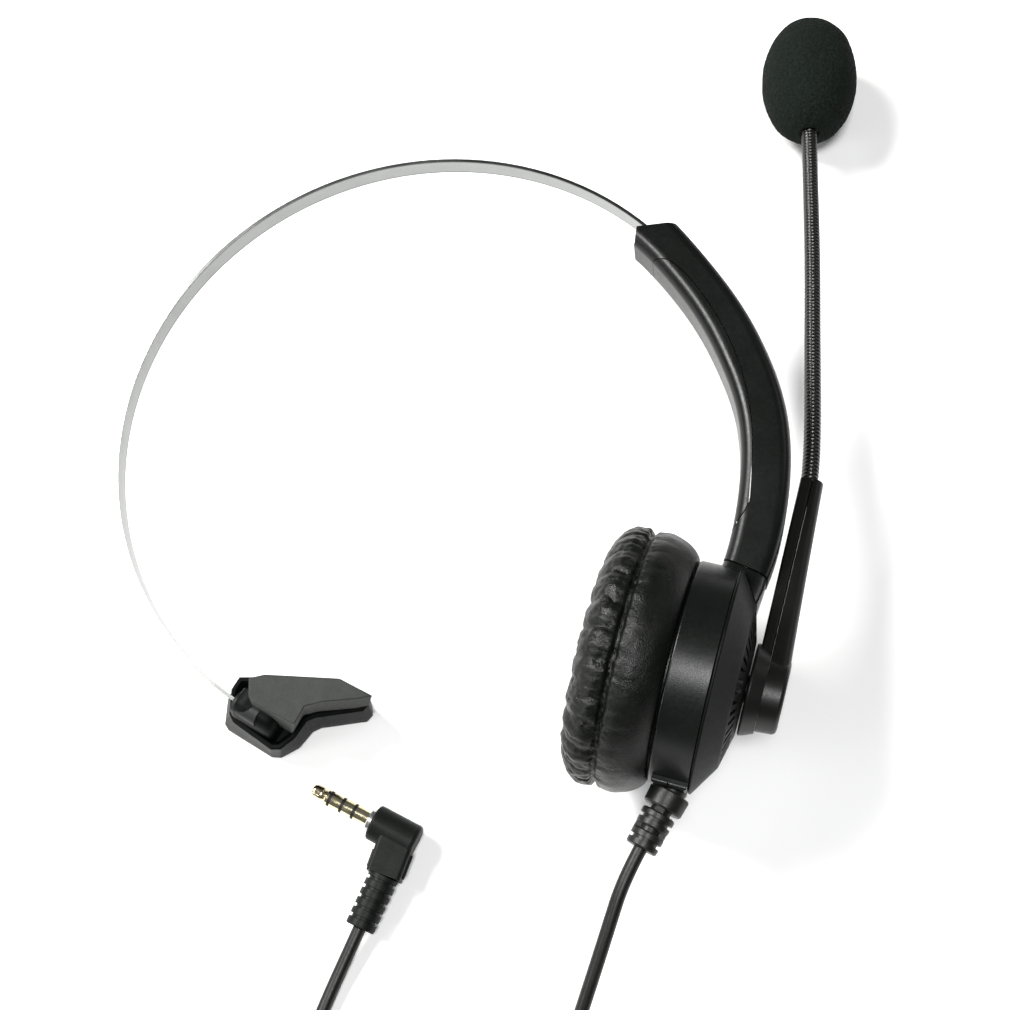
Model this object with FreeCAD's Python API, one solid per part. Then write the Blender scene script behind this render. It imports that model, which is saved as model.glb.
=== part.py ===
import FreeCAD, Part
import math
import os

# Single-ear wired office headset lying on its side, in millimetres.
# Row frame: +X to the microphone side, +Y towards the microphone, +Z up from the surface it lies on.
# The layout below is written in a lying frame whose surface is z = REST_Z; everything is moved by SHIFT on export.

V = FreeCAD.Vector

# ---------------------------------------------------------------- driving dimensions
REST_Z = 0.30                     # surface height in the layout frame

# ear cup: origin at the cushion seam, local x = towards the arm, y = up, z = outward along the cup axis
CUP_O = V(26.007, -46.84, 29.08)
CUP_AX = V(0.9524, -0.2857, 0.106)
CUSHION_R = 28.7                  # cushion outer radius
CUSHION_HOLE_R = 13.0             # ear opening radius
CUSHION_FRONT = -8.6              # front face of the cushion
CUSHION_BACK = 10.2
HOUSING_R = 23.9
HOUSING_SPLIT = 19.0              # joint line between housing and rear cover
RIM_R, RIM_Z = 17.4, 23.7         # rim between bevel and vent ring
COVER_FLAT_R, COVER_Z = 10.0, 25.45
WALL = 1.6
VENT_COUNT, VENT_W, VENT_R0, VENT_R1 = 44, 0.85, 12.6, 16.6
SPINDLE_R = 3.0

# headband: origin at the band circle's centre, local x/y in the band plane, z = band plane normal
BAND_O = V(-18.81, 8.09, 22.21)
BAND_X = V(0.9909, 0.0, 0.1345)
BAND_Y = V(-0.0041, 0.9995, 0.0299)
BAND_R = 73.26                    # centre line of the spring steel strip
BAND_T, BAND_W = 0.8, 4.6         # strip thickness and width
BAND_IN_ARM = 24.0                # angle of the strip's inner end, degrees
BAND_AT_PAD = 234.05              # angle where the strip enters the temple pad
CHANNEL_T, CHANNEL_W = 1.1, 4.9   # strip channel in the arm
ARM_KNOTS = [                     # angle, inner radius, outer radius, half width
    (44.0, 67.2, 78.4, 5.7), (38.0, 67.3, 78.0, 5.8), (30.0, 67.5, 77.9, 5.9), (20.0, 68.4, 79.0, 6.0),
    (10.0, 69.75, 80.6, 6.1), (0.0, 71.6, 82.5, 6.2), (-10.0, 72.8, 83.7, 6.3),
    (-20.0, 74.0, 84.7, 6.3), (-27.3, 75.1, 85.3, 6.3)]
ARM_ROUND = 2.7
JOINT_ANGLE = -27.3               # arm end at the swivel
JOINT_GAP = 0.22                  # degrees of gap between arm and neck
SWIVEL_R = 2.0
PART_GAP = 0.22                   # gap between the arm's shell and its inner cover

# microphone boom, in the cup frame
BOOM_DIR = -9.2                   # direction of the boom in the cup's x-y plane, degrees
BOOM_LEN = 52.6                   # hub centre to boom end
BOOM_Z0, BOOM_SPLIT, BOOM_Z1 = 25.8, 29.1, 33.5
BOOM_ARM_Z0 = 26.7
GOOSE_R = 1.95                    # gooseneck radius
GOOSE_SOCKET = 2.05
GOOSE_PTS = [V(68.35, -6.6, 24.45), V(69.45, -2.6, 23.85), V(71.3, 9.6, 22.4), V(74.2, 36.2, 19.2),
             V(76.9, 63.2, 16.35), V(79.25, 92.6, 13.55)]
FOAM_C = V(81.3, 117.0, 12.79)    # windscreen centre
FOAM_D = V(0.0816, 0.9966, -0.012)
FOAM_R, FOAM_HALF = 12.5, 18.2    # windscreen radius and half length

# cord
CORD_R = 1.45
GLAND_O = (-26.0, -0.5, 15.55)    # in the cup frame
GLAND_D = (-0.966, -0.074, -0.245)
GLAND_END = 12.0
COIL_C = V(-14.6, -152.0, 0.0)
COIL_R0, COIL_R1, COIL_H = 12.2, 21.2, 11.0

# plug, lying on the surface
PLUG_TIP = V(-42.8, -70.0, 4.35)
PLUG_DIR = V(0.8875, -0.4608, 0.0)
PLUG_SHAFT_R = 1.75
STEM_DIR = V(-0.4165, -0.9091, 0.0)


# ---------------------------------------------------------------- helpers
def unit(v):
    w = V(v)
    w.normalize()
    return w


def frame(o, x, z):
    z = unit(z)
    y = unit(z.cross(x))
    x = y.cross(z)
    return FreeCAD.Matrix(x.x, y.x, z.x, o.x, x.y, y.y, z.y, o.y, x.z, y.z, z.z, o.z, 0, 0, 0, 1)


def at(m, shape):
    return shape.transformed(m, True)


def pt(m, x, y, z):
    return m.multVec(V(x, y, z))


def wire(items):
    """Closed wire from (x, z) corners; ('a', mid, end) makes a three-point arc."""
    edges = []
    first = cur = V(items[0][0], 0, items[0][1])
    for it in items[1:]:
        if it[0] == "a":
            mid, end = V(it[1][0], 0, it[1][1]), V(it[2][0], 0, it[2][1])
            edges.append(Part.Arc(cur, mid, end).toShape())
        else:
            end = V(it[0], 0, it[1])
            edges.append(Part.LineSegment(cur, end).toShape())
        cur = end
    if (cur - first).Length > 1e-6:
        edges.append(Part.LineSegment(cur, first).toShape())
    return Part.Wire(edges)


def rev(items):
    return Part.Face(wire(items)).revolve(V(0, 0, 0), V(0, 0, 1), 360)


def tube(r0, r1, z0, z1):
    s = Part.makeCylinder(r1, z1 - z0, V(0, 0, z0))
    if r0 > 0:
        s = s.cut(Part.makeCylinder(r0, z1 - z0 + 2, V(0, 0, z0 - 1)))
    return s


def cyl(p, q, r):
    d = q - p
    return Part.makeCylinder(r, d.Length, p, unit(d))


def box(x0, x1, y0, y1, z0, z1):
    return Part.makeBox(x1 - x0, y1 - y0, z1 - z0, V(x0, y0, z0))


def poly(points, z0, z1):
    ps = [V(x, y, z0) for x, y in points]
    return Part.Face(Part.makePolygon(ps + [ps[0]])).extrude(V(0, 0, z1 - z0))


def fillet(shape, r, pick):
    """Rounds the edges that pick(edge) chooses, leaving the shape as it was if that can't be done."""
    es = [e for e in shape.Edges if pick(e)]
    for k in (1.0, 0.7, 0.4):
        try:
            s = shape.makeFillet(r * k, es)
            if s.isValid() and s.Volume > 0 and len(s.Solids) == len(shape.Solids):
                return s
        except Exception:
            pass
    print("no fillet of", r)
    return shape


def ring_sector(r0, r1, a0, a1, h0, h1):
    """Part of a ring about z, from angle a0 to a1 in degrees."""
    n = V(0, 0, 1)
    outer = Part.makeCircle(r1, V(0, 0, h0), n, a0, a1)
    inner = Part.makeCircle(r0, V(0, 0, h0), n, a0, a1)
    c = lambda r, a: V(r * math.cos(math.radians(a)), r * math.sin(math.radians(a)), h0)
    w = Part.Wire(Part.__sortEdges__([outer, inner, Part.LineSegment(c(r0, a0), c(r1, a0)).toShape(),
                                      Part.LineSegment(c(r0, a1), c(r1, a1)).toShape()]))
    return Part.Face(w).extrude(V(0, 0, h1 - h0))


def section(o, u, v, u0, u1, v0, v1, r):
    """Rounded rectangle wire on the plane through o spanned by u and v."""
    p = lambda a, b: o + u * a + v * b
    k = r * (1 - math.sqrt(0.5))
    E = [Part.LineSegment(p(u0 + r, v0), p(u1 - r, v0)).toShape(),
         Part.Arc(p(u1 - r, v0), p(u1 - k, v0 + k), p(u1, v0 + r)).toShape(),
         Part.LineSegment(p(u1, v0 + r), p(u1, v1 - r)).toShape(),
         Part.Arc(p(u1, v1 - r), p(u1 - k, v1 - k), p(u1 - r, v1)).toShape(),
         Part.LineSegment(p(u1 - r, v1), p(u0 + r, v1)).toShape(),
         Part.Arc(p(u0 + r, v1), p(u0 + k, v1 - k), p(u0, v1 - r)).toShape(),
         Part.LineSegment(p(u0, v1 - r), p(u0, v0 + r)).toShape(),
         Part.Arc(p(u0, v0 + r), p(u0 + k, v0 + k), p(u0 + r, v0)).toShape()]
    return Part.Wire(E)


def loft(wires):
    return Part.makeLoft(wires, True, False)


def route(points, r, name):
    """Tube of radius r along straight runs joined by tangent arcs, each as large as its runs allow."""
    edges, cur, radii = [], points[0], []
    for i in range(1, len(points) - 1):
        a, b, c = points[i - 1], points[i], points[i + 1]
        u, w = b - a, c - b
        turn = u.getAngle(w)
        R = 0.45 * min(u.Length, w.Length) / math.tan(turn / 2)
        back = R * math.tan(turn / 2)
        radii.append(R)
        p, q = b - unit(u) * back, b + unit(w) * back
        centre = p + unit((w - unit(u) * w.dot(unit(u)))) * R
        mid = centre + unit(b - centre) * R
        edges.append(Part.LineSegment(cur, p).toShape())
        edges.append(Part.Arc(p, mid, q).toShape())
        cur = q
    edges.append(Part.LineSegment(cur, points[-1]).toShape())
    path = Part.Wire(edges)
    circle = Part.Wire([Part.makeCircle(r, points[0], unit(points[1] - points[0]))])
    solid = path.makePipeShell([circle], True, True)
    print(name, "length %.1f volume/section*length %.4f" % (path.Length, solid.Volume / (math.pi * r * r * path.Length)),
          "radii", [round(x, 1) for x in radii])
    return solid


NODES = {}
CORD_NODES = ("cord_gland", "cord_lead", "cord_coil", "coil_tie", "cord_tail", "plug_relief", "plug_body",
              "plug_collar", "plug_sleeve", "plug_ring_rear", "plug_ring_front", "plug_tip", "plug_insulators")


def node(name, shape):
    if not shape.isValid():
        print("INVALID", name)
    NODES[name] = shape


CUP = frame(CUP_O, V(0, 0, 1).cross(CUP_AX), CUP_AX)
BAND = frame(BAND_O, BAND_X, BAND_X.cross(BAND_Y))


# ---------------------------------------------------------------- ear cup (cup frame)
R, H = CUSHION_R, CUSHION_HOLE_R
cushion = rev([(H, 1.7), (H, -4.4), ("a", (19.8, CUSHION_FRONT), (26.6, -6.3)), ("a", (R - 0.1, -3.4), (27.0, -0.2)),
               ("a", (R, 5.2), (24.4, CUSHION_BACK)), (21.7, CUSHION_BACK), (21.7, 1.7)])
node("ear_cushion", at(CUP, cushion))
node("speaker_cloth", at(CUP, tube(0, 20.6, 1.72, 1.98)))

baffle = tube(0, 19.7, 2.0, 3.4)
holes = [Part.makeCylinder(0.9, 4, V(0, 0, 1))]
for ring, (rr, count) in enumerate(((4.2, 6), (8.2, 12), (12.0, 16))):
    for i in range(count):
        a = 2 * math.pi * (i + 0.5 * ring) / count
        holes.append(Part.makeCylinder(0.9, 4, V(rr * math.cos(a), rr * math.sin(a), 1)))
node("speaker_baffle", at(CUP, baffle.cut(Part.makeCompound(holes))))
node("driver_gasket", at(CUP, tube(15.2, 18.4, 3.4, 4.0)))
basket = rev([(15.2, 4.0), (18.4, 4.0), (18.4, 5.4), (15.0, 6.8), (9.2, 9.2), (9.2, 10.6), (8.0, 10.6), (8.0, 8.6),
              (14.2, 5.7), (15.2, 5.0)])
slots = []
for i in range(6):
    b = box(10.6, 13.2, -2.2, 2.2, 5, 11)
    b.rotate(V(0, 0, 0), V(0, 0, 1), 60 * i + 30)
    slots.append(b)
node("driver_frame", at(CUP, basket.cut(Part.makeCompound(slots))))
node("driver_diaphragm", at(CUP, rev([(0, 4.2), (4.2, 4.5), (6.9, 5.1), (11, 4.45), (14.6, 4.2), (15.1, 4.2), (15.1, 4.4),
                                       (11, 4.7), (6.9, 5.35), (4.2, 4.75), (0, 4.45)])))
node("driver_voice_coil", at(CUP, tube(6.7, 7.1, 5.35, 8.3)))
node("driver_magnet", at(CUP, tube(0, 6.2, 6.1, 8.9)))
node("driver_yoke", at(CUP, rev([(0, 8.9), (7.45, 8.9), (7.45, 6.5), (7.95, 6.5), (7.95, 10.6), (0, 10.6)])))

# housing: front tube under the cushion skirt, shoulder, barrel, inner tabs, neck and cord spout
barrel = rev([(19.8, 2.0), (21.0, 2.0), (21.4, 2.4), (21.4, 10.35), (23.3, 10.35), ("a", (23.72, 10.5), (HOUSING_R, 10.95)),
              (HOUSING_R, HOUSING_SPLIT - 0.25), (HOUSING_R - 0.2, HOUSING_SPLIT), (22.3, HOUSING_SPLIT), (22.3, 11.8), (19.8, 11.8)])
SCREW_ANGLES = (90, 210, 330)
SCREW_AT_R = 17.5
tabs = []
for a in SCREW_ANGLES:
    tab = box(15.2, 22.6, -3.0, 3.0, 11.8, 13.2).cut(Part.makeCylinder(1.0, 4, V(SCREW_AT_R, 0, 11)))
    tab.rotate(V(0, 0, 0), V(0, 0, 1), a)
    tabs.append(tab)


def polar(r, a, h=0.0):
    return V(r * math.cos(math.radians(a)), r * math.sin(math.radians(a)), h)


def arm_dims(a):
    ks = ARM_KNOTS
    for k, q in zip(ks[:-1], ks[1:]):
        if q[0] <= a <= k[0]:
            t = (k[0] - a) / (k[0] - q[0])
            return [k[i] + (q[i] - k[i]) * t for i in (1, 2, 3)]
    return ks[-1][1:]


# swivel axis: through the middle of the arm end, along the arm
joint_mid_r = (ARM_KNOTS[-1][1] + ARM_KNOTS[-1][2]) / 2
SWIVEL_P = pt(BAND, *polar(joint_mid_r, JOINT_ANGLE))
t_end = BAND.multVec(polar(1, JOINT_ANGLE + 90)) - BAND.multVec(V(0, 0, 0))
SWIVEL_D = unit(t_end)                                   # from the neck into the arm
rad = unit(BAND.multVec(polar(1, JOINT_ANGLE)) - BAND.multVec(V(0, 0, 0)))
nrm = unit(BAND.multVec(V(0, 0, 1)) - BAND.multVec(V(0, 0, 0)))
gap = math.radians(JOINT_GAP) * joint_mid_r
half = (ARM_KNOTS[-1][2] - ARM_KNOTS[-1][1]) / 2
top = section(SWIVEL_P - SWIVEL_D * gap, rad, nrm, -half + 0.15, half - 0.15, -6.15, 6.15, ARM_ROUND)
cup_inv = CUP.inverse()
x_c = unit(CUP.multVec(V(1, 0, 0)) - CUP.multVec(V(0, 0, 0)))
y_c = unit(CUP.multVec(V(0, 1, 0)) - CUP.multVec(V(0, 0, 0)))
z_c = unit(CUP.multVec(V(0, 0, 1)) - CUP.multVec(V(0, 0, 0)))
mid = section(CUP.multVec(V(21.2, -0.2, 0)), z_c, y_c, 13.9, 24.35, -7.2, 6.9, 2.7)
low = section(CUP.multVec(V(14.5, 0, 0)), z_c, y_c, 11.9, 23.4, -10.6, 10.6, 2.7)
neck = loft([low, mid, top])
cover_room = at(CUP, rev([(0, 11.8), (22.3, 11.8), (22.3, HOUSING_SPLIT - 0.001), (24.35, HOUSING_SPLIT - 0.001),
                          (24.35, 19.55), (RIM_R + 0.12, RIM_Z + 0.12), (RIM_R + 0.1, 26.5), (0, 26.5)]))
boss = neck.common(at(CUP, box(19.0, 27.0, -5.1, 5.1, 11.0, 26.0)))
neck = neck.cut(cover_room)
neck = max(neck.Solids, key=lambda s: s.Volume).fuse(boss)
g0 = V(*GLAND_O)
gd = unit(V(*GLAND_D))
spout = box(-25.1, -20.5, -4.3, 4.3, 11.4, 18.9)
spout = fillet(spout, 0.8, lambda e: abs(e.Vertexes[0].X + 25.1) < 1e-6 and abs(e.Vertexes[-1].X + 25.1) < 1e-6)
spout = spout.cut(tube(0, 22.4, 11, 19.5)).cut(box(-25.3, -24.4, -5, 5, 14.75, 15.1))
gland_hole = Part.makeCylinder(3.05, 12, g0 - gd * 8, gd)
hollow = Part.makeCylinder(22.3, HOUSING_SPLIT - 11.8 + 2, V(0, 0, 11.8))
housing = at(CUP, barrel.fuse(tabs).fuse(spout)).fuse(neck.cut(at(CUP, hollow)))
housing = housing.cut(at(CUP, gland_hole)).cut(at(CUP, Part.makeCylinder(4.42, 6, g0 - gd * 0.85, gd)))
pin_hole = cyl(SWIVEL_P - SWIVEL_D * 4.6, SWIVEL_P + SWIVEL_D * 1, SWIVEL_R)
housing = housing.cut(pin_hole).removeSplitter()
node("cup_housing", housing)

# swivel pin: pressed into the neck, its head turns inside the arm
pin = cyl(SWIVEL_P - SWIVEL_D * 4.6, SWIVEL_P + SWIVEL_D * 6.2, SWIVEL_R).fuse(
    cyl(SWIVEL_P + SWIVEL_D * 6.2, SWIVEL_P + SWIVEL_D * 7.4, 3.0)).removeSplitter()
node("swivel_pin", pin)

# rear cover: bevel, rim, vent ring, flat boss for the boom, three screw posts
cover_out = [(22.2, HOUSING_SPLIT + 0.05), (24.0, HOUSING_SPLIT + 0.05), ("a", (24.12, 19.3), (23.9, 19.62)),
             (RIM_R + 0.5, RIM_Z - 0.3), ("a", (RIM_R + 0.05, RIM_Z - 0.05), (RIM_R - 0.5, RIM_Z + 0.1)),
             (COVER_FLAT_R, COVER_Z), (0, COVER_Z)]
cover = rev(cover_out + [(0, COVER_Z - WALL), (COVER_FLAT_R - 0.3, COVER_Z - WALL), (RIM_R - 0.8, RIM_Z - WALL),
                         (22.2, 19.85)])
posts = []
for a in SCREW_ANGLES:
    p = Part.makeCylinder(2.2, 8.6, V(SCREW_AT_R, 0, 13.25)).cut(Part.makeCylinder(0.95, 6.2, V(SCREW_AT_R, 0, 13)))
    p = p.common(rev([(0, 10), (21.8, 10), (21.8, 19.9), (16, 23.4), (0, 23.4)]))
    p.rotate(V(0, 0, 0), V(0, 0, 1), a)
    posts.append(p)
cover = cover.fuse(posts)
slits = []
for i in range(VENT_COUNT):
    s = box(VENT_R0, VENT_R1, -VENT_W / 2, VENT_W / 2, 21, 27)
    s.rotate(V(0, 0, 0), V(0, 0, 1), 360.0 * (i + 0.5) / VENT_COUNT)
    slits.append(s)
cover = cover.cut(Part.makeCompound(slits)).cut(Part.makeCylinder(2.0, 5, V(0, 0, 22)))
cover = cover.cut(box(18.92, 28.0, -5.16, 5.16, 18.0, 27.0)).cut(Part.makeCylinder(3.45, 3, V(*GLAND_O) - unit(V(*GLAND_D)) * 8, unit(V(*GLAND_D))))
node("rear_cover", at(CUP, cover.removeSplitter()))
screws = []
for a in SCREW_ANGLES:
    s = Part.makeCylinder(0.9, 6.0, V(SCREW_AT_R, 0, 11.6)).fuse(
        Part.makeCylinder(1.8, 1.3, V(SCREW_AT_R, 0, 10.5)).cut(box(SCREW_AT_R - 1.3, SCREW_AT_R + 1.3, -0.25, 0.25, 10.4, 11.0)))
    s.rotate(V(0, 0, 0), V(0, 0, 1), a)
    screws.append(s.removeSplitter())
node("cover_screws", at(CUP, Part.makeCompound(screws)))
node("vent_mesh", at(CUP, tube(9.6, 15.1, 21.4, 21.7)))
node("junction_board", at(CUP, box(-14.5, -4.5, -5, 5, 13.6, 14.8)))

# spindle that carries the boom: flange under the cover, round post, cap
spindle = rev([(0, 22.4), (5.0, 22.4), (5.0, COVER_Z - WALL), (1.98, COVER_Z - WALL), (1.98, COVER_Z), (SPINDLE_R, COVER_Z),
               (SPINDLE_R, 30.2), (1.0, 30.2), (1.0, 27.0), (0, 27.0)])
node("boom_spindle", at(CUP, spindle))
node("hub_screw", at(CUP, rev([(0, 27.2), (0.95, 27.2), (0.95, 30.25), (3.6, 30.25), (3.6, 31.1), (0.6, 31.1), (0.6, 30.7), (0, 30.7)])))


def lead(points, r):
    out = None
    for p, q in zip(points[:-1], points[1:]):
        c = cyl(p, q, r)
        out = c if out is None else out.fuse(c)
    for p in points[1:-1]:
        out = out.fuse(Part.makeSphere(r, p))
    return out


node("speaker_leads", at(CUP, lead([V(-8.6, 1.5, 13.4), V(-8.6, 1.5, 12.4), V(-8.4, 0.5, 11.4)], 0.4).fuse(
    lead([V(-8.6, -1.5, 13.4), V(-8.6, -1.5, 12.4), V(-8.4, -0.6, 11.4)], 0.4))))

# gland: inner flange, neck through the spout, three bending rings joined by a thin core and webs
gland = rev([(0, -8.0), (2.2, -8.0), (2.2, -7.2), (3.3, -7.2), (3.3, -6.0), (3.0, -6.0), (3.0, -0.75), (4.1, -0.75), (4.3, -0.4),
             (4.15, 2.7), (3.9, 3.1), (2.2, 3.1), (2.2, 4.1), (3.4, 4.1), (3.6, 4.4), (3.55, 5.35), (2.8, 5.4), (2.8, 6.15), (3.5, 6.2), (3.45, 7.2), (3.25, 7.5), (2.2, 7.5),
             (2.2, 8.5), (3.3, 8.5), (3.45, 8.8), (3.4, 9.85), (2.7, 9.9), (2.7, 10.65), (3.4, 10.7), (3.35, 11.7), (3.1, GLAND_END), (0, GLAND_END)])
for z0, z1, turn in ((3.0, 4.2, 0), (7.4, 8.6, 90)):
    web = box(-3.3, 3.3, -0.9, 0.9, z0, z1)
    web.rotate(V(0, 0, 0), V(0, 0, 1), turn)
    gland = gland.fuse(web)
GL = frame(pt(CUP, *GLAND_O), y_c, CUP.multVec(g0 + gd) - CUP.multVec(g0))
node("cord_gland", at(GL, gland.removeSplitter()))

# ---------------------------------------------------------------- headband (band frame)
OX, OZ = V(1, 0, 0), V(0, 0, 1)
secs = []
for a, r0, r1, h in ARM_KNOTS:
    secs.append(section(V(0, 0, 0), polar(1, a), OZ, r0, r1, -h, h, ARM_ROUND))
arm = loft(secs)
# slanted and chamfered open end
end_cut = poly([tuple(polar(66.0, 41.6))[:2], tuple(polar(67.6, 41.6))[:2], tuple(polar(70.4, 43.3))[:2], tuple(polar(78.2, 38.6))[:2],
                tuple(polar(81.0, 38.2))[:2], tuple(polar(84.0, 50))[:2], tuple(polar(62.0, 50))[:2]], -12, 12)
arm = arm.cut(end_cut)
# inner cavity and strip channel
cav = loft([section(V(0, 0, 0), polar(1, a), OZ, BAND_R - CHANNEL_T / 2 + 0.02, arm_dims(a)[1] - 2.2, -3.9, 3.9, 0.6)
            for a in (32.0, 23, 14, 5, -3)])
channel = ring_sector(BAND_R - CHANNEL_T / 2, BAND_R + CHANNEL_T / 2, -3.5, 60, -CHANNEL_W / 2, CHANNEL_W / 2)
arm = arm.cut(cav).cut(channel)
# bore and pocket for the swivel pin
BI = BAND.inverse()
sp, sd = BI.multVec(SWIVEL_P), unit(BI.multVec(SWIVEL_P + SWIVEL_D) - BI.multVec(SWIVEL_P))
arm = arm.cut(cyl(sp - sd * 1, sp + sd * 6.35, SWIVEL_R + 0.06)).cut(cyl(sp + sd * 6.1, sp + sd * 8.0, 3.15))
# inner cover: strip along the concave side
PART_LINE = [(66.2, 36.3), (67.9, 35.6), (69.6, 34.0), (70.9, 30.6), (71.8, 24.2), (72.6, 17.7), (73.4, 11.0), (74.2, 3.8),
             (74.7, -1.9), (75.2, -8.4), (75.8, -14.3), (76.0, -18.2), (75.2, -20.2), (74.2, -22.6), (72.0, -24.4)]
curve = Part.BSplineCurve()
curve.interpolate([polar(r, a, -12) for r, a in PART_LINE])
w = Part.Wire([curve.toShape(), Part.LineSegment(polar(72.0, -24.4, -12), polar(60, -26, -12)).toShape(),
               Part.LineSegment(polar(60, -26, -12), polar(60, 38, -12)).toShape(),
               Part.LineSegment(polar(60, 38, -12), polar(66.2, 36.3, -12)).toShape()])
strip_zone = Part.Face(w).extrude(V(0, 0, 24))
cover_part = arm.common(strip_zone)
shell_part = arm.cut(strip_zone)
zone_in = [polar(r - PART_GAP, a, -12) for r, a in PART_LINE]
curve_in = Part.BSplineCurve()
curve_in.interpolate(zone_in)
w_in = Part.Wire([curve_in.toShape(), Part.LineSegment(zone_in[-1], polar(60, -25.6, -12)).toShape(),
                  Part.LineSegment(polar(60, -25.6, -12), polar(60, 37.6, -12)).toShape(), Part.LineSegment(polar(60, 37.6, -12), zone_in[0]).toShape()])
cover_part = arm.common(Part.Face(w_in).extrude(V(0, 0, 24)))
big = lambda s: max(s.Solids, key=lambda x: x.Volume)
node("arm_cover", at(BAND, big(cover_part)))
node("arm_shell", at(BAND, big(shell_part)))
# two screws of the cover, from the shell's pocket side, kept inside
sc = []
for a in (33.0, -20.5):
    d = polar(1, a)
    r_mid = 74.6 if a > 0 else 77.5
    sc.append(cyl(d * (r_mid - 2.9), d * r_mid, 0.8).fuse(cyl(d * r_mid, d * (r_mid + 1.0), 1.3)).removeSplitter())
# the screws sit off the strip's plane so that it can pass
scr = []
for s in sc:
    k = s.copy()
    k.translate(V(0, 0, 4.1))
    scr.append(k)
cut_tool = Part.makeCompound(scr)
NODES["arm_cover"] = at(BAND, big(big(cover_part).cut(cut_tool)))
NODES["arm_shell"] = at(BAND, big(big(shell_part).cut(cut_tool)))
node("arm_screws", at(BAND, cut_tool))

band = ring_sector(BAND_R - BAND_T / 2, BAND_R + BAND_T / 2, BAND_IN_ARM, BAND_AT_PAD + 5.0, -BAND_W / 2, BAND_W / 2)
node("headband_strip", at(BAND, band))
stop = ring_sector(BAND_R + BAND_T / 2, BAND_R + BAND_T / 2 + 1.3, BAND_IN_ARM + 0.2, BAND_IN_ARM + 2.0, -1.8, 1.8)
node("strip_stop", at(BAND, stop))
spring = ring_sector(BAND_R + BAND_T / 2 + 1.55, BAND_R + BAND_T / 2 + 1.85, -2.8, 31.8, -1.5, 1.5)
node("detent_spring", at(BAND, spring))

# ---------------------------------------------------------------- temple pad
# pivot barrel on the strip's end, along the strip's tangent
pp = pt(BAND, *polar(BAND_R, BAND_AT_PAD + 4.4))
pd = unit(BAND.multVec(polar(1, BAND_AT_PAD + 4.4 + 90)) - BAND.multVec(V(0, 0, 0)))
PIVOT_R = 2.5
pivot = cyl(pp - pd * 3.0, pp + pd * 3.6, PIVOT_R).cut(at(BAND, ring_sector(
    BAND_R - BAND_T / 2, BAND_R + BAND_T / 2, BAND_AT_PAD - 4, BAND_AT_PAD + 5.0, -BAND_W / 2, BAND_W / 2)))
node("pad_pivot", pivot)
Z0, ZR, ZT = REST_Z, 11.6, 21.3
TRAY = [(-62.9, -48.7), (-62.7, -54.6), (-61.7, -56.5), (-52.6, -62.3), (-50.4, -62.3), (-46.6, -60.0), (-43.9, -56.3),
        (-42.0, -55.5), (-31.6, -54.0), (-30.3, -52.6), (-30.3, -50.6), (-36.2, -47.0), (-52.5, -46.2), (-60.4, -46.2)]


def inset(points, d):
    """Polygon moved inwards by d."""
    n = len(points)
    area = sum(points[i][0] * points[(i + 1) % n][1] - points[(i + 1) % n][0] * points[i][1] for i in range(n))
    s = 1 if area > 0 else -1
    out = []
    for i in range(n):
        (ax, ay), (bx, by), (cx, cy) = points[i - 1], points[i], points[(i + 1) % n]
        l1, l2 = math.hypot(bx - ax, by - ay), math.hypot(cx - bx, cy - by)
        n1 = (-(by - ay) / l1 * s, (bx - ax) / l1 * s)
        n2 = (-(cy - by) / l2 * s, (cx - bx) / l2 * s)
        k = 1 + n1[0] * n2[0] + n1[1] * n2[1]
        out.append((bx + (n1[0] + n2[0]) * d / k, by + (n1[1] + n2[1]) * d / k))
    return out


tray = poly(TRAY, Z0, ZR)
tray = fillet(tray, 0.9, lambda e: abs(e.Vertexes[0].Z - Z0) < 1e-6 and abs(e.Vertexes[-1].Z - Z0) < 1e-6)
tray = tray.cut(poly(inset(TRAY, 1.3), Z0 + 1.4, ZR + 5))
# barrel seat, open at the top corner where the strip comes in
seat = cyl(pp - pd * 2.6, pp + pd * 5.0, PIVOT_R + 1.1)
hub_room = cyl(pp - pd * 8.0, pp + pd * 3.75, PIVOT_R + 0.06)
column = poly([(-63.3, -47.4), (-63.1, -54.0), (-60.4, -56.2), (-55.6, -53.8), (-55.6, -47.4)], Z0 + 1.0, 11.6)
tray = tray.fuse(seat).fuse(column.common(poly(inset(TRAY, 0.4), Z0, ZR)))
sweep = cyl(pp - pd * 12, pp - pd * 2.0, PIVOT_R + 0.35)
tray = tray.cut(hub_room).cut(sweep).removeSplitter()
tray = big(tray)
node("pad_tray", tray)

CAP = [(-55.6, -49.0), (-52.2, -48.2), (-35.9, -49.1), (-28.5, -53.0), (-31.5, -53.6), (-39.8, -54.4), (-43.1, -55.3),
       (-45.2, -59.3), (-54.4, -54.5), (-55.4, -52.6)]


def pwire(points, z, dx=0.0):
    ps = [V(x + dx, y, z) for x, y in points]
    return Part.makePolygon(ps + [ps[0]])


pad_top = Part.makeLoft([pwire(CAP, 12.2, -1.6), pwire(CAP, ZT, 0)], True, True)
pad_top = fillet(pad_top, 0.5, lambda e: abs(e.Vertexes[0].Z - ZT) < 1e-6 and abs(e.Vertexes[-1].Z - ZT) < 1e-6)
STEM = [(-55.2, -50.2), (-53.5, -49.8), (-38.2, -50.4), (-34.8, -52.1), (-41.8, -52.7), (-45.9, -53.9), (-47.5, -57.0), (-54.5, -53.3)]
pad_low = poly(STEM, Z0 + 1.45, 12.25)
pad = pad_top.fuse(pad_low)
pad = pad.cut(cyl(pp - pd * 12, pp + pd * 5.4, PIVOT_R + 1.9)).removeSplitter()
pad = big(pad)
node("temple_pad", pad)

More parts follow.
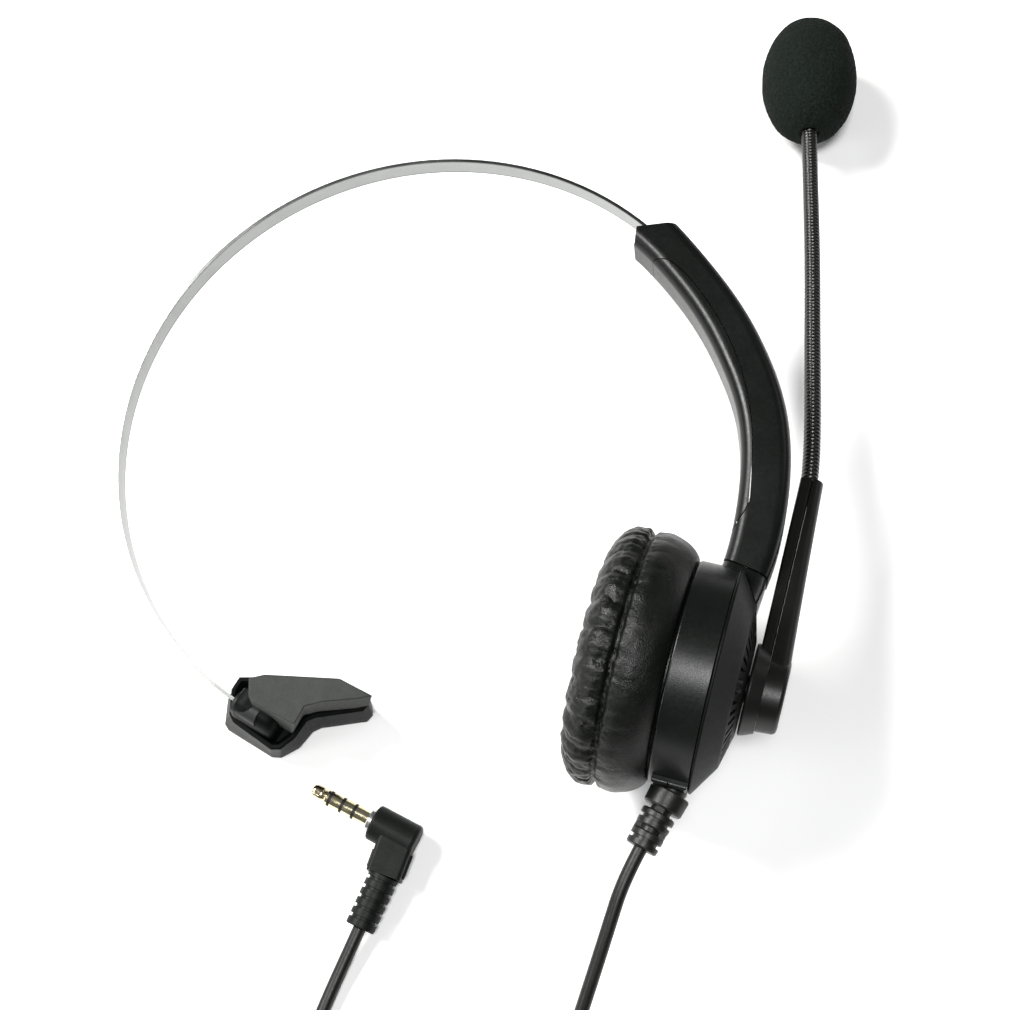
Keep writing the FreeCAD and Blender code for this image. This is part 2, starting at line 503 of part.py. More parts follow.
# ---------------------------------------------------------------- boom (cup frame)
bd = math.radians(BOOM_DIR)
bx, by = V(math.cos(bd), math.sin(bd), 0), V(-math.sin(bd), math.cos(bd), 0)


def boom_sec(s, w, z0, z1, r):
    return section(bx * s, by, OZ, -w / 2, w / 2, z0, z1, r)


WIDTHS = [(3.0, 14.6), (14.0, 12.6), (28.0, 10.6), (42.0, 9.2), (BOOM_LEN, 8.4)]
outer_arm = loft([boom_sec(s, w, BOOM_ARM_Z0 - 2.6, 33.5 - 2.0 * s / BOOM_LEN, 1.9) for s, w in WIDTHS])
# the loft's lower half is cut off flat at the parting plane
hub_top = rev([(0, BOOM_SPLIT), (8.25, BOOM_SPLIT), (7.95, 32.4), ("a", (7.65, 33.2), (6.9, BOOM_Z1)), (0, BOOM_Z1)])
above = box(-20, 70, -40, 40, BOOM_SPLIT, 40)
shell = outer_arm.common(above).fuse(hub_top).removeSplitter()
cavity = loft([boom_sec(s, w - 3.2, BOOM_SPLIT - 1, 31.2 - 1.0 * s / BOOM_LEN, 0.5) for s, w in WIDTHS[:-1] + [(BOOM_LEN - 9.0, 5.6)]])
shell = shell.cut(cavity.cut(tube(0, 7.6, 20, 40))).cut(rev([(0, 28), (6.2, 28), (6.2, 31.35), (0, 31.35)]))
flat_out = lambda z0, z1, k: loft([boom_sec(s, w - k, z0 - 0.4 * s / BOOM_LEN, z1, 0.6) for s, w in WIDTHS])
lower = flat_out(BOOM_ARM_Z0, BOOM_SPLIT - 0.02, 0.5)
disc = rev([(0, BOOM_Z0), (9.3, BOOM_Z0), ("a", (9.75, 26.0), (9.85, 26.4)), (8.75, BOOM_SPLIT - 0.02), (0, BOOM_SPLIT - 0.02)])
lower = lower.fuse(disc).cut(tube(0, SPINDLE_R + 0.05, 20, 40)).cut(rev([(0, 28.2), (5.3, 28.2), (5.3, 30), (0, 30)]))
# gooseneck socket
gp = [cup_inv.multVec(p) for p in GOOSE_PTS]
gdir = unit(gp[1] - gp[0])
sock = Part.makeCylinder(GOOSE_R + 0.02, 30, gp[0] - gdir * 4.0, gdir)
lower = lower.cut(sock).removeSplitter()
shell = shell.cut(sock).removeSplitter()
node("boom_shell", at(CUP, big(shell)))
node("boom_inner_cover", at(CUP, big(lower)))
node("boom_washer", at(CUP, tube(SPINDLE_R + 0.06, 5.0, 28.25, 28.85)))
node("hub_spring", at(CUP, tube(SPINDLE_R + 0.06, 4.6, 28.9, 30.1)))

# gooseneck: root piece fixed in the boom, three links with ball ends
J = GOOSE_PTS


def link(a, b, ball, socket, extra=0.0):
    d = unit(b - a)
    s = cyl(a, b + d * extra, GOOSE_R)
    if ball:
        s = s.fuse(Part.makeSphere(GOOSE_R, a))
    if socket:
        s = s.cut(Part.makeSphere(GOOSE_SOCKET, b))
    return big(s.removeSplitter())


start = J[0] - unit(J[1] - J[0]) * 3.9
root = cyl(start, J[1], GOOSE_R).fuse(Part.makeSphere(GOOSE_R, J[1])).fuse(cyl(J[1], J[2], GOOSE_R)).cut(Part.makeSphere(GOOSE_SOCKET, J[2]))
node("gooseneck_root", big(root.removeSplitter()))
node("gooseneck_lower", link(J[2], J[3], True, True))
node("gooseneck_middle", link(J[3], J[4], True, True))
node("gooseneck_upper", link(J[4], J[5], True, False))

# microphone end
MIC = frame(J[5], V(1, 0, 0), FOAM_C - J[5])
L = (FOAM_C - J[5]).Length
node("mic_ferrule", at(MIC, rev([(0, 0.1), (1.7, 0.1), (1.9, 0.3), (1.9, 8.2), (0, 8.2)])))
node("mic_housing", at(MIC, rev([(3.4, 8.2), (4.6, 9.4), (4.6, 18.7), (4.1, 18.7), (4.1, 9.8), (0, 9.8), (0, 8.2)])))
node("mic_boot", at(MIC, tube(3.05, 4.05, 13.4, 18.2)))
node("mic_capsule", at(MIC, tube(0, 3.0, 14.2, 17.4)))
node("mic_grille", at(MIC, tube(0, 4.6, 18.75, 19.3)))
FM = frame(FOAM_C, V(1, 0, 0), FOAM_D)
hole_at = -FOAM_HALF
prof = []
n = 12
pts = []
for i in range(n + 1):
    a = -math.pi / 2 + math.pi * i / n
    c, s = math.cos(a), math.sin(a)
    r = FOAM_R * (abs(c) ** 0.8)
    z = FOAM_HALF * math.copysign(abs(s) ** 0.96, s)
    if r < 2.5 and s < 0:
        continue
    pts.append(V(max(r, 0.0), 0, z))
z_low = pts[0].z
sp_curve = Part.BSplineCurve()
sp_curve.interpolate([V(2.3, 0, z_low - 0.3)] + pts)
bot = V(2.3, 0, z_low - 0.3)
topp = pts[-1]
cav_top = V(0, 0, -2.2)
edges = [sp_curve.toShape(), Part.LineSegment(topp, cav_top).toShape(), Part.LineSegment(cav_top, V(4.9, 0, -2.2)).toShape(),
         Part.LineSegment(V(4.9, 0, -2.2), V(4.9, 0, -15.0)).toShape(), Part.LineSegment(V(4.9, 0, -15.0), V(3.75, 0, -16.25)).toShape(),
         Part.LineSegment(V(3.75, 0, -16.25), V(3.75, 0, -16.5)).toShape(), Part.LineSegment(V(3.75, 0, -16.5), V(2.3, 0, -16.8)).toShape(),
         Part.LineSegment(V(2.3, 0, -16.8), bot).toShape()]
foam = Part.Face(Part.Wire(edges)).revolve(V(0, 0, 0), V(0, 0, 1), 360)
node("windscreen", at(FM, foam))

# ---------------------------------------------------------------- cord
g_end = pt(CUP, *(g0 + gd * GLAND_END))
print("gland end", tuple(round(x, 2) for x in g_end))
LEAD = [g_end, V(23.75, -92.7, 28.0), V(20.7, -101.6, 25.1), V(17.4, -111.2, 21.3), V(13.9, -121.2, 17.0),
        V(10.6, -131.2, 13.3), V(7.6, -140.8, 10.9), V(5.2, -150.0, 10.0)]
TAIL_END = V(-31.3, -99.7, 3.75)
TAIL = [V(-34.25, -153.5, 1.75), V(-35.9, -145.4, 1.75), V(-39.4, -137.6, 1.75), V(-41.6, -129.2, 1.75), V(-40.3, -120.6, 1.75),
        V(-37.1, -112.5, 1.95), V(-34.1, -105.9, 2.75), TAIL_END]
node("cord_lead", route(LEAD, CORD_R, "cord_lead"))
node("cord_tail", route(TAIL, CORD_R, "cord_tail"))
mid_r = (COIL_R0 + COIL_R1) / 2


def coil_ring(inset):
    k = 2.6 - inset
    r0, r1, z0, z1 = COIL_R0 + inset, COIL_R1 - inset, inset, COIL_H - inset
    q = k * 0.2929
    return rev([(r0 + k, z0), (r1 - k, z0), ("a", (r1 - q, z0 + q), (r1, z0 + k)), (r1, z1 - k),
                ("a", (r1 - q, z1 - q), (r1 - k, z1)), (r0 + k, z1), ("a", (r0 + q, z1 - q), (r0, z1 - k)), (r0, z0 + k),
                ("a", (r0 + q, z0 + q), (r0 + k, z0))])


gap_box = box(mid_r - 8, mid_r + 8, -3.15, 3.15, -2, COIL_H + 2)
coil = coil_ring(0).cut(gap_box).fuse(coil_ring(0.95).common(box(mid_r - 8, mid_r + 8, -3.6, 3.6, -2, COIL_H + 2))).removeSplitter()
ow, oh = COIL_R1 - COIL_R0 + 1.6, COIL_H + 0.9
tie = box(mid_r - ow / 2, mid_r + ow / 2, -3, 3, 0, oh)
tie = fillet(tie, 2.6, lambda e: abs(e.Vertexes[0].Y - e.Vertexes[-1].Y) > 5)
inner = box(mid_r - ow / 2 + 0.8, mid_r + ow / 2 - 0.8, -5, 5, 0.8, oh - 0.8)
inner = fillet(inner, 1.9, lambda e: abs(e.Vertexes[0].Y - e.Vertexes[-1].Y) > 5)
tie_ring = tie.cut(inner)
TIE_ANGLE = -90
for s in (tie_ring, coil):
    s.rotate(V(0, 0, 0), V(0, 0, 1), TIE_ANGLE)
    s.translate(V(COIL_C.x, COIL_C.y, REST_Z))
node("cord_coil", big(coil))
node("coil_tie", tie_ring)

# ---------------------------------------------------------------- plug
PL = frame(PLUG_TIP, V(0, 0, 1), PLUG_DIR)
r = PLUG_SHAFT_R
node("plug_tip", at(PL, rev([(0, 0), (0.75, 0.0), ("a", (1.3, 0.3), (1.55, 0.95)), (1.68, 2.2), ("a", (1.6, 2.75), (1.38, 3.1)), (1.38, 3.3),
                             (r, 3.75), (r, 4.3), (0.7, 4.3), (0.7, 14.4), (0, 14.4)])))
ins = [tube(0.75, r, z, z + 0.7) for z in (4.3, 7.4, 10.4)]
node("plug_insulators", at(PL, Part.makeCompound([i for i in ins])))
node("plug_ring_front", at(PL, tube(0.75, r, 5.0, 7.4)))
node("plug_ring_rear", at(PL, tube(0.75, r, 8.1, 10.4)))
node("plug_sleeve", at(PL, tube(0.75, r, 11.1, 14.4)))
node("plug_collar", at(PL, rev([(0, 14.4), (2.6, 14.4), (2.8, 14.6), (2.8, 15.4), (0, 15.4)])))
body = rev([(0, 15.4), (3.3, 15.4), ("a", (3.8, 15.6), (4.0, 16.2)), (4.0, 24.9), ("a", (3.75, 25.9), (2.9, 26.2)), (0, 26.2)])
body = at(PL, body)
sd_ = unit(STEM_DIR)
side = unit(V(0, 0, 1).cross(sd_))
cpt = PLUG_TIP + PLUG_DIR * 22.0
stem_end = V(-26.4, -88.9, PLUG_TIP.z)
sd2 = unit(stem_end - cpt)
side2 = unit(V(0, 0, 1).cross(sd2))
stem = loft([section(cpt, side2, V(0, 0, 1), -4.0, 4.0, -3.5, 3.5, 1.0),
             section(cpt + sd2 * ((stem_end - cpt).Length), side2, V(0, 0, 1), -3.9, 3.9, -3.2, 3.2, 1.0)])
body = body.fuse(stem).removeSplitter()
ribs = []
for off in (0.6,):
    ribs.append(cyl(cpt + side2 * 4.0 + sd2 * 3.2, stem_end + side2 * 3.9 - sd2 * 0.8, 0.5))
    ribs.append(cyl(cpt - side2 * 4.0 + sd2 * 4.6, stem_end - side2 * 3.9 - sd2 * 0.8, 0.5))
for rb in ribs:
    body = body.fuse(rb)
node("plug_body", big(body.removeSplitter()))
rl_dir = TAIL_END - stem_end
RL = frame(stem_end, V(0, 0, 1), rl_dir)
LR = rl_dir.Length
relief = [(0, 0), (3.4, 0)]
z = 0.9
r_out = 3.4
for i in range(5):
    r_out = 3.4 - 0.02 * i
    relief += [(r_out, z), (r_out - 0.6, z + 0.08), (r_out - 0.6, z + 0.66), (r_out - 0.02, z + 0.74)]
    z += 2.15
relief += [(3.3, LR - 0.25), (3.1, LR), (0, LR)]
node("plug_relief", at(RL, rev(relief)))

NODES["rear_cover"] = big(NODES["rear_cover"].cut(NODES["cord_gland"]))

# ---------------------------------------------------------------- export
lo = [1e9] * 3
hi = [-1e9] * 3
for name, s in NODES.items():
    if name in CORD_NODES:
        continue
    b = s.optimalBoundingBox(False, False)
    for i, (p, q) in enumerate(((b.XMin, b.XMax), (b.YMin, b.YMax), (b.ZMin, b.ZMax))):
        lo[i], hi[i] = min(lo[i], p), max(hi[i], q)
    if b.ZMin < 0.6:
        print("low", name, round(b.ZMin, 3))
print("lying box", [round(v, 3) for v in lo], [round(v, 3) for v in hi])
SHIFT = V(-(lo[0] + hi[0]) / 2, -(lo[1] + hi[1]) / 2, -lo[2])
print("SHIFT", tuple(round(v, 4) for v in SHIFT))
os.makedirs("parts", exist_ok=True)
for name, s in NODES.items():
    s = s.copy()
    s.translate(SHIFT)
    s.exportStep("parts/" + name + ".step")
    print("%-18s solids %d volume %.1f" % (name, len(s.Solids), s.Volume))
for label, p, d in (("arm_swivel", SWIVEL_P, SWIVEL_D), ("band_slide", BAND_O, nrm), ("pad_tilt", pp, pd), ("boom_rotate", pt(CUP, 0, 0, 29), z_c),
                    ("goose_1", J[2], unit(J[3] - J[2])), ("goose_2", J[3], unit(J[4] - J[3])), ("goose_3", J[4], unit(J[5] - J[4])),
                    ("plug", PLUG_TIP, PLUG_DIR), ("ear_hole", pt(CUP, 0, 0, -3.6), z_c)):
    q = p + SHIFT
    print("AXIS %s %.6f %.6f %.6f %.6f %.6f %.6f" % (label, q.x, q.y, q.z, d.x, d.y, d.z))
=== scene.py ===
import bpy
import bmesh
import math
import numpy as np
from mathutils import Matrix, Vector, noise


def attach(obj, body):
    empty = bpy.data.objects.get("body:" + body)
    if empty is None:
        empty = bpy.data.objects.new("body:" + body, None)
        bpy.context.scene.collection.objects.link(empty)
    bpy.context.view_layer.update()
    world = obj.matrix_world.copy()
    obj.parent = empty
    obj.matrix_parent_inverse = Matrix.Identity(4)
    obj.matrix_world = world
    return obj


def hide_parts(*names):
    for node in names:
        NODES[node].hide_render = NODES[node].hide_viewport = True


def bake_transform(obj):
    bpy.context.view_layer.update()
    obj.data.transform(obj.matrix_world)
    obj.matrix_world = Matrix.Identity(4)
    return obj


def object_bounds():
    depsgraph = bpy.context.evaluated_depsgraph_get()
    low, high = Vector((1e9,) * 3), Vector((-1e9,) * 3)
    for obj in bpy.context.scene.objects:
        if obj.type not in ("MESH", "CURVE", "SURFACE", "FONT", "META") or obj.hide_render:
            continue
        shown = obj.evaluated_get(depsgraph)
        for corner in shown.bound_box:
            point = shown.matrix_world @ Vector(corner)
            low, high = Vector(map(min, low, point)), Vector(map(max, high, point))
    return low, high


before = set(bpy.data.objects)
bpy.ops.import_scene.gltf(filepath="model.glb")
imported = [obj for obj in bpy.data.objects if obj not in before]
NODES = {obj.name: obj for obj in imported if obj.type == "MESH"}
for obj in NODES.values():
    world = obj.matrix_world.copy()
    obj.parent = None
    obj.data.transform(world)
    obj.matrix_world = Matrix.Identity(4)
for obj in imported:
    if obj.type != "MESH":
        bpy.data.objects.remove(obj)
cad_lo, cad_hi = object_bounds()
cad_lo, cad_hi = [float(x) for x in cad_lo], [float(x) for x in cad_hi]
D = bpy.data
SC = bpy.context.scene

# ------------------------------------------------------------------ frames, layout millimetres to row metres
SHIFT = (-0.8871, -29.5408, -0.279)


def P(x, y, z):
    return Vector(((x + SHIFT[0]) / 1000, (y + SHIFT[1]) / 1000, (z + SHIFT[2]) / 1000))


def axes(origin, x, z):
    """Matrix from local millimetres to row metres."""
    z = Vector(z).normalized()
    x = Vector(x)
    x = (x - z * x.dot(z)).normalized()
    y = z.cross(x)
    m = Matrix((x, y, z)).transposed().to_4x4() @ Matrix.Scale(0.001, 4)
    m.translation = P(*origin)
    return m


CUP_AX = Vector((0.9524, -0.2857, 0.106))
CUP = axes((26.007, -46.84, 29.08), Vector((0, 0, 1)).cross(CUP_AX), CUP_AX)
BAND_X, BAND_Y = Vector((0.9909, 0.0, 0.1345)), Vector((-0.0041, 0.9995, 0.0299))
BAND = axes((-18.81, 8.09, 22.21), BAND_X, BAND_X.cross(BAND_Y))
GOOSE = [(68.35, -6.6, 24.45), (69.45, -2.6, 23.85), (71.3, 9.6, 22.4), (74.2, 36.2, 19.2), (76.9, 63.2, 16.35), (79.25, 92.6, 13.55)]
FOAM = axes((81.3, 117.0, 12.79), (1, 0, 0), (0.0816, 0.9966, -0.012))

# ------------------------------------------------------------------ camera
cam = D.objects.new("camera", D.cameras.new("camera"))
SC.collection.objects.link(cam)
cam.data.sensor_width = 36.0
cam.data.lens = 49.9
cam.data.clip_start = 0.01
cam.data.clip_end = 20
cam.location = P(0, -128.1, 317.1)
cam.rotation_euler = (math.radians(22), 0, 0)
SC.camera = cam


# ------------------------------------------------------------------ materials
class Nodes:
    def __init__(self, name):
        self.m = D.materials.new(name)
        self.m.use_nodes = True
        self.t = self.m.node_tree
        self.bsdf = self.t.nodes["Principled BSDF"]
        self.coord = self.t.nodes.new("ShaderNodeTexCoord").outputs["Object"]

    def add(self, kind, **inputs):
        n = self.t.nodes.new(kind)
        for k, v in inputs.items():
            self.put(n.inputs[k.replace("_", " ")], v)
        return n

    def put(self, socket, v):
        if isinstance(v, bpy.types.NodeSocket):
            self.t.links.new(v, socket)
        else:
            socket.default_value = v

    def noise(self, scale, detail=2.0, rough=0.5, vector=None, distortion=0.0):
        return self.add("ShaderNodeTexNoise", Vector=vector or self.coord, Scale=scale, Detail=detail, Roughness=rough,
                        Distortion=distortion).outputs["Fac"]

    def voronoi(self, scale, feature="F1", vector=None, randomness=1.0):
        n = self.t.nodes.new("ShaderNodeTexVoronoi")
        n.feature = feature
        self.put(n.inputs["Vector"], vector or self.coord)
        n.inputs["Scale"].default_value = scale
        n.inputs["Randomness"].default_value = randomness
        return n.outputs["Distance"]

    def math(self, op, a, b=0.0, clamp=False):
        n = self.t.nodes.new("ShaderNodeMath")
        n.operation = op
        n.use_clamp = clamp
        self.put(n.inputs[0], a)
        self.put(n.inputs[1], b)
        return n.outputs[0]

    def remap(self, v, a, b, c, d):
        n = self.t.nodes.new("ShaderNodeMapRange")
        self.put(n.inputs[0], v)
        for i, x in enumerate((a, b, c, d)):
            n.inputs[i + 1].default_value = x
        return n.outputs[0]

    def mix(self, f, a, b):
        n = self.t.nodes.new("ShaderNodeMix")
        n.data_type = "RGBA"
        self.put(n.inputs[0], f)
        n.inputs[6].default_value = (*a, 1)
        n.inputs[7].default_value = (*b, 1)
        return n.outputs[2]

    def bump(self, height, distance, strength=1.0, normal=None):
        n = self.t.nodes.new("ShaderNodeBump")
        self.put(n.inputs["Height"], height)
        n.inputs["Distance"].default_value = distance
        n.inputs["Strength"].default_value = strength
        if normal is not None:
            self.put(n.inputs["Normal"], normal)
        return n.outputs["Normal"]

    def set(self, **kw):
        for k, v in kw.items():
            self.put(self.bsdf.inputs[k.replace("_", " ")], v)
        return self.m


def plastic(name, dark, light, rough, grain_scale, grain, wear=0.5, coat=0.0, spec=0.27):
    """Moulded plastic: fine spark texture, faint cloudiness in the gloss, and dust-light mottling."""
    k = Nodes(name)
    cloud = k.noise(70, 4, 0.6)
    fine = k.noise(grain_scale, 3, 0.6)
    spots = k.voronoi(grain_scale * 0.55)
    h = k.math("ADD", k.math("MULTIPLY", fine, 0.7), k.math("MULTIPLY", spots, 0.6))
    r = k.math("ADD", k.remap(cloud, 0.3, 0.7, rough - 0.035, rough + 0.05), k.remap(k.noise(1400, 2), 0.35, 0.65, -0.02, 0.03))
    m = k.set(Base_Color=k.mix(k.remap(k.noise(320, 5, 0.65), 0.35, 0.75, 0, wear), dark, light), Roughness=r,
              Normal=k.bump(h, grain, 1.0), Specular_IOR_Level=spec)
    if coat:
        k.set(Coat_Weight=coat, Coat_Roughness=0.12)
    return m


def metal(name, dark, light, rough, scale=2200, bump=0.000012, stretch=None):
    k = Nodes(name)
    v = k.coord
    if stretch:
        n = k.add("ShaderNodeMapping", Vector=k.coord)
        n.inputs["Scale"].default_value = stretch
        v = n.outputs[0]
    f = k.noise(scale, 4, 0.6, v)
    return k.set(Base_Color=k.mix(k.remap(k.noise(260, 4), 0.3, 0.7, 0, 1), dark, light), Metallic=1.0,
                 Roughness=k.remap(f, 0.3, 0.7, rough - 0.05, rough + 0.08), Normal=k.bump(f, bump))


M = {}
M["housing"] = plastic("moulded_abs_satin", (0.0018, 0.0025, 0.0020), (0.0040, 0.0050, 0.0042), 0.31, 5200, 0.000010, 0.5)
M["arm"] = plastic("moulded_abs_arm", (0.0018, 0.0024, 0.0020), (0.0040, 0.0048, 0.0042), 0.31, 5600, 0.000009, 0.5, spec=0.22)
M["cover"] = plastic("moulded_abs_cover", (0.0016, 0.0022, 0.0018), (0.0036, 0.0045, 0.0038), 0.42, 5200, 0.000010, 0.5, spec=0.07)
M["boom"] = plastic("moulded_abs_boom", (0.0030, 0.0034, 0.0027), (0.0060, 0.0066, 0.0052), 0.36, 5600, 0.000012, 0.5)
M["pocket"] = plastic("moulded_abs_inner", (0.0025, 0.003, 0.0028), (0.005, 0.0056, 0.0052), 0.5, 4200, 0.000014, 0.5)
M["tray"] = plastic("moulded_abs_tray", (0.0020, 0.0027, 0.0023), (0.0042, 0.0052, 0.0046), 0.46, 5200, 0.000010, 0.5, spec=0.05)
M["pvc"] = plastic("soft_pvc", (0.0030, 0.0033, 0.0026), (0.0065, 0.0070, 0.0056), 0.40, 3600, 0.000018, 0.7)
M["plug_pvc"] = plastic("moulded_pvc_plug", (0.0034, 0.0046, 0.0038), (0.0078, 0.0094, 0.0080), 0.46, 2600, 0.00003, 0.8, spec=0.10)
M["rubber"] = plastic("matt_rubber", (0.0105, 0.0125, 0.0105), (0.0190, 0.0215, 0.0175), 0.62, 3000, 0.00003, 0.9, spec=0.35)
M["film"] = plastic("film", (0.30, 0.27, 0.2), (0.4, 0.36, 0.28), 0.3, 2000, 0.00001)
M["board"] = plastic("circuit_board", (0.01, 0.06, 0.025), (0.02, 0.10, 0.04), 0.4, 1500, 0.00001)
M["gold"] = metal("gold_plate", (0.74, 0.64, 0.38), (0.90, 0.82, 0.58), 0.15, bump=0.000004)
M["plated"] = metal("plated_steel", (0.50, 0.50, 0.50), (0.72, 0.72, 0.70), 0.24)
M["copper"] = metal("copper", (0.62, 0.28, 0.15), (0.8, 0.4, 0.24), 0.25)
M["magnet"] = metal("magnet", (0.22, 0.22, 0.23), (0.32, 0.32, 0.33), 0.35)


def steel_strip():
    """Bright rolled spring steel, brushed along the band, with painted shade darkening its two edges."""
    k = Nodes("spring_steel")
    zax = BAND_X.cross(BAND_Y).normalized()
    xax = BAND_X.normalized()
    yax = zax.cross(xax)
    o = P(-18.81, 8.09, 22.21)
    sub = k.t.nodes.new("ShaderNodeVectorMath")
    sub.operation = "SUBTRACT"
    k.put(sub.inputs[0], k.coord)
    sub.inputs[1].default_value = o
    got = []
    for a in (xax, yax, zax):
        n = k.t.nodes.new("ShaderNodeVectorMath")
        n.operation = "DOT_PRODUCT"
        k.put(n.inputs[0], sub.outputs[0])
        n.inputs[1].default_value = a
        got.append(n.outputs["Value"])
    ang = k.math("ARCTAN2", got[1], got[0])
    c = k.t.nodes.new("ShaderNodeCombineXYZ")
    k.put(c.inputs[0], k.math("MULTIPLY", ang, 6.0))
    k.put(c.inputs[1], k.math("MULTIPLY", got[2], 9000.0))
    lines = k.noise(1.0, 5, 0.7, c.outputs[0])
    stain = k.noise(140, 4, 0.6)
    # Painted shade: the base colour darkens towards the strip's two edges so the edge line reads dark; the stain noise
    # on top is random staining.
    painted_edge_shade = k.remap(k.math("ABSOLUTE", got[2]), 0.00185, 0.00212, 0.0, 0.9)
    shade_and_stain = k.math("ADD", painted_edge_shade, k.remap(stain, 0.3, 0.7, 0.0, 0.12), clamp=True)
    return k.set(Base_Color=k.mix(shade_and_stain, (0.30, 0.307, 0.302), (0.12, 0.124, 0.12)), Metallic=1.0,
                 Roughness=k.remap(lines, 0.25, 0.75, 0.18, 0.30), Normal=k.bump(lines, 0.000004))


M["steel"] = steel_strip()


def leatherette():
    """Glossy black leather-cloth: pebble grain with fine stretched creases; the colour carries painted shade in the
    crease hollows.
    """
    k = Nodes("leatherette")
    warp = k.add("ShaderNodeTexNoise", Vector=k.coord, Scale=900.0, Detail=3.0)
    mixv = k.t.nodes.new("ShaderNodeVectorMath")
    mixv.operation = "MULTIPLY_ADD"
    k.put(mixv.inputs[0], warp.outputs["Color"])
    mixv.inputs[1].default_value = (0.0006, 0.0006, 0.0006)
    k.put(mixv.inputs[2], k.coord)
    cells = k.voronoi(2100, "DISTANCE_TO_EDGE", mixv.outputs[0])
    pebble = k.remap(cells, 0.0, 0.22, 0.0, 1.0)
    crease = k.noise(640, 6, 0.74, distortion=0.7)
    h = k.math("ADD", k.math("MULTIPLY", pebble, 0.42), k.math("MULTIPLY", crease, 1.2))
    h = k.math("ADD", h, k.math("MULTIPLY", k.noise(7000, 2), 0.12))
    # Painted shade: the base colour follows the crease noise of the bump, darker where the surface lies low in the
    # creases.
    return k.set(Base_Color=k.mix(k.remap(crease, 0.3, 0.75, 0, 1), (0.0010, 0.0015, 0.0010), (0.0032, 0.0041, 0.0030)),
                 Roughness=k.math("ADD", k.remap(pebble, 0, 1, 0.40, 0.30), k.remap(k.noise(300, 3), 0.3, 0.7, -0.05, 0.06)),
                 Normal=k.bump(h, 0.00006, 0.9), Specular_IOR_Level=0.20)


M["leather"] = leatherette()


def foam_mat():
    k = Nodes("windscreen_foam")
    cells = k.voronoi(1500)
    small = k.noise(3800, 4, 0.7)
    h = k.math("ADD", k.math("MULTIPLY", cells, 0.9), k.math("MULTIPLY", small, 0.8))
    # Painted shade: the base colour follows the bump height h, darker in the low pores between the cell walls.
    return k.set(Base_Color=k.mix(k.remap(h, 0.3, 1.1, 0, 1), (0.0008, 0.0016, 0.0010), (0.0058, 0.0092, 0.0068)),
                 Roughness=k.remap(small, 0.3, 0.7, 0.88, 1.0), Normal=k.bump(h, 0.00022, 0.8), Specular_IOR_Level=0.12)


M["foam"] = foam_mat()


def goose_mat():
    k = Nodes("gooseneck_sleeve")
    f = k.noise(1600, 3, 0.6)
    return k.set(Base_Color=k.mix(k.remap(f, 0.3, 0.7, 0, 1), (0.0028, 0.0032, 0.0026), (0.0056, 0.0060, 0.0050)),
                 Roughness=k.remap(k.noise(300, 2), 0.3, 0.7, 0.24, 0.29), Normal=k.bump(f, 0.000003), Specular_IOR_Level=0.5)


M["goose"] = goose_mat()


def weave(name, dark, light, pitch, rough=0.9, depth=0.00012):
    """Woven cloth: two crossed sets of threads with a little irregularity, with painted shade in the gaps between
    threads.
    """
    k = Nodes(name)
    w = []
    for d in ("X", "Y"):
        n = k.t.nodes.new("ShaderNodeTexWave")
        n.wave_type = "BANDS"
        n.bands_direction = d
        k.put(n.inputs["Vector"], k.coord)
        n.inputs["Scale"].default_value = 0.314 / pitch
        n.inputs["Distortion"].default_value = 0.6
        n.inputs["Detail"].default_value = 2.0
        w.append(n.outputs["Fac"])
    h = k.math("ADD", k.math("MAXIMUM", w[0], w[1]), k.math("MULTIPLY", k.noise(3000, 3), 0.4))
    # Painted shade: the base colour follows the thread height h, darker in the low gaps between threads.
    return k.set(Base_Color=k.mix(k.remap(h, 0.3, 1.2, 0, 1), dark, light), Roughness=k.remap(h, 0.2, 1.3, rough, rough - 0.12),
                 Normal=k.bump(h, depth, 0.8), Sheen_Weight=0.25)


M["cloth"] = weave("speaker_cloth", (0.004, 0.004, 0.004), (0.02, 0.02, 0.02), 0.0005)
M["tie"] = weave("tie_fabric", (0.008, 0.008, 0.009), (0.03, 0.03, 0.032), 0.0004)

# ------------------------------------------------------------------ cord: one spline from the gland, through the coil, to the plug
LEAD = [(27.35, -86.5, 29.04), (23.75, -92.7, 28.0), (20.7, -101.6, 25.1), (17.4, -111.2, 21.3), (13.9, -121.2, 17.0),
        (10.6, -131.2, 13.3), (7.6, -140.8, 11.2)]
TAIL = [(-35.9, -145.4, 1.8), (-39.4, -137.6, 1.75), (-41.6, -129.2, 1.75), (-40.3, -120.6, 1.75),
        (-37.1, -112.5, 1.95), (-34.1, -105.9, 2.75), (-31.3, -99.7, 3.75)]
CORD_D = 2.9
CX, CY = -14.6, -152.0
COLS = (13.75, 16.72, 19.7)
LAYERS = (10.55, 7.62, 4.69, 1.76)
slots = []
for i, z in enumerate(LAYERS):
    for r in (COLS[::-1] if i % 2 == 0 else COLS):
        slots.append((r, z))
JOG, HALF = 90.0, 34.0
STEPS = 18


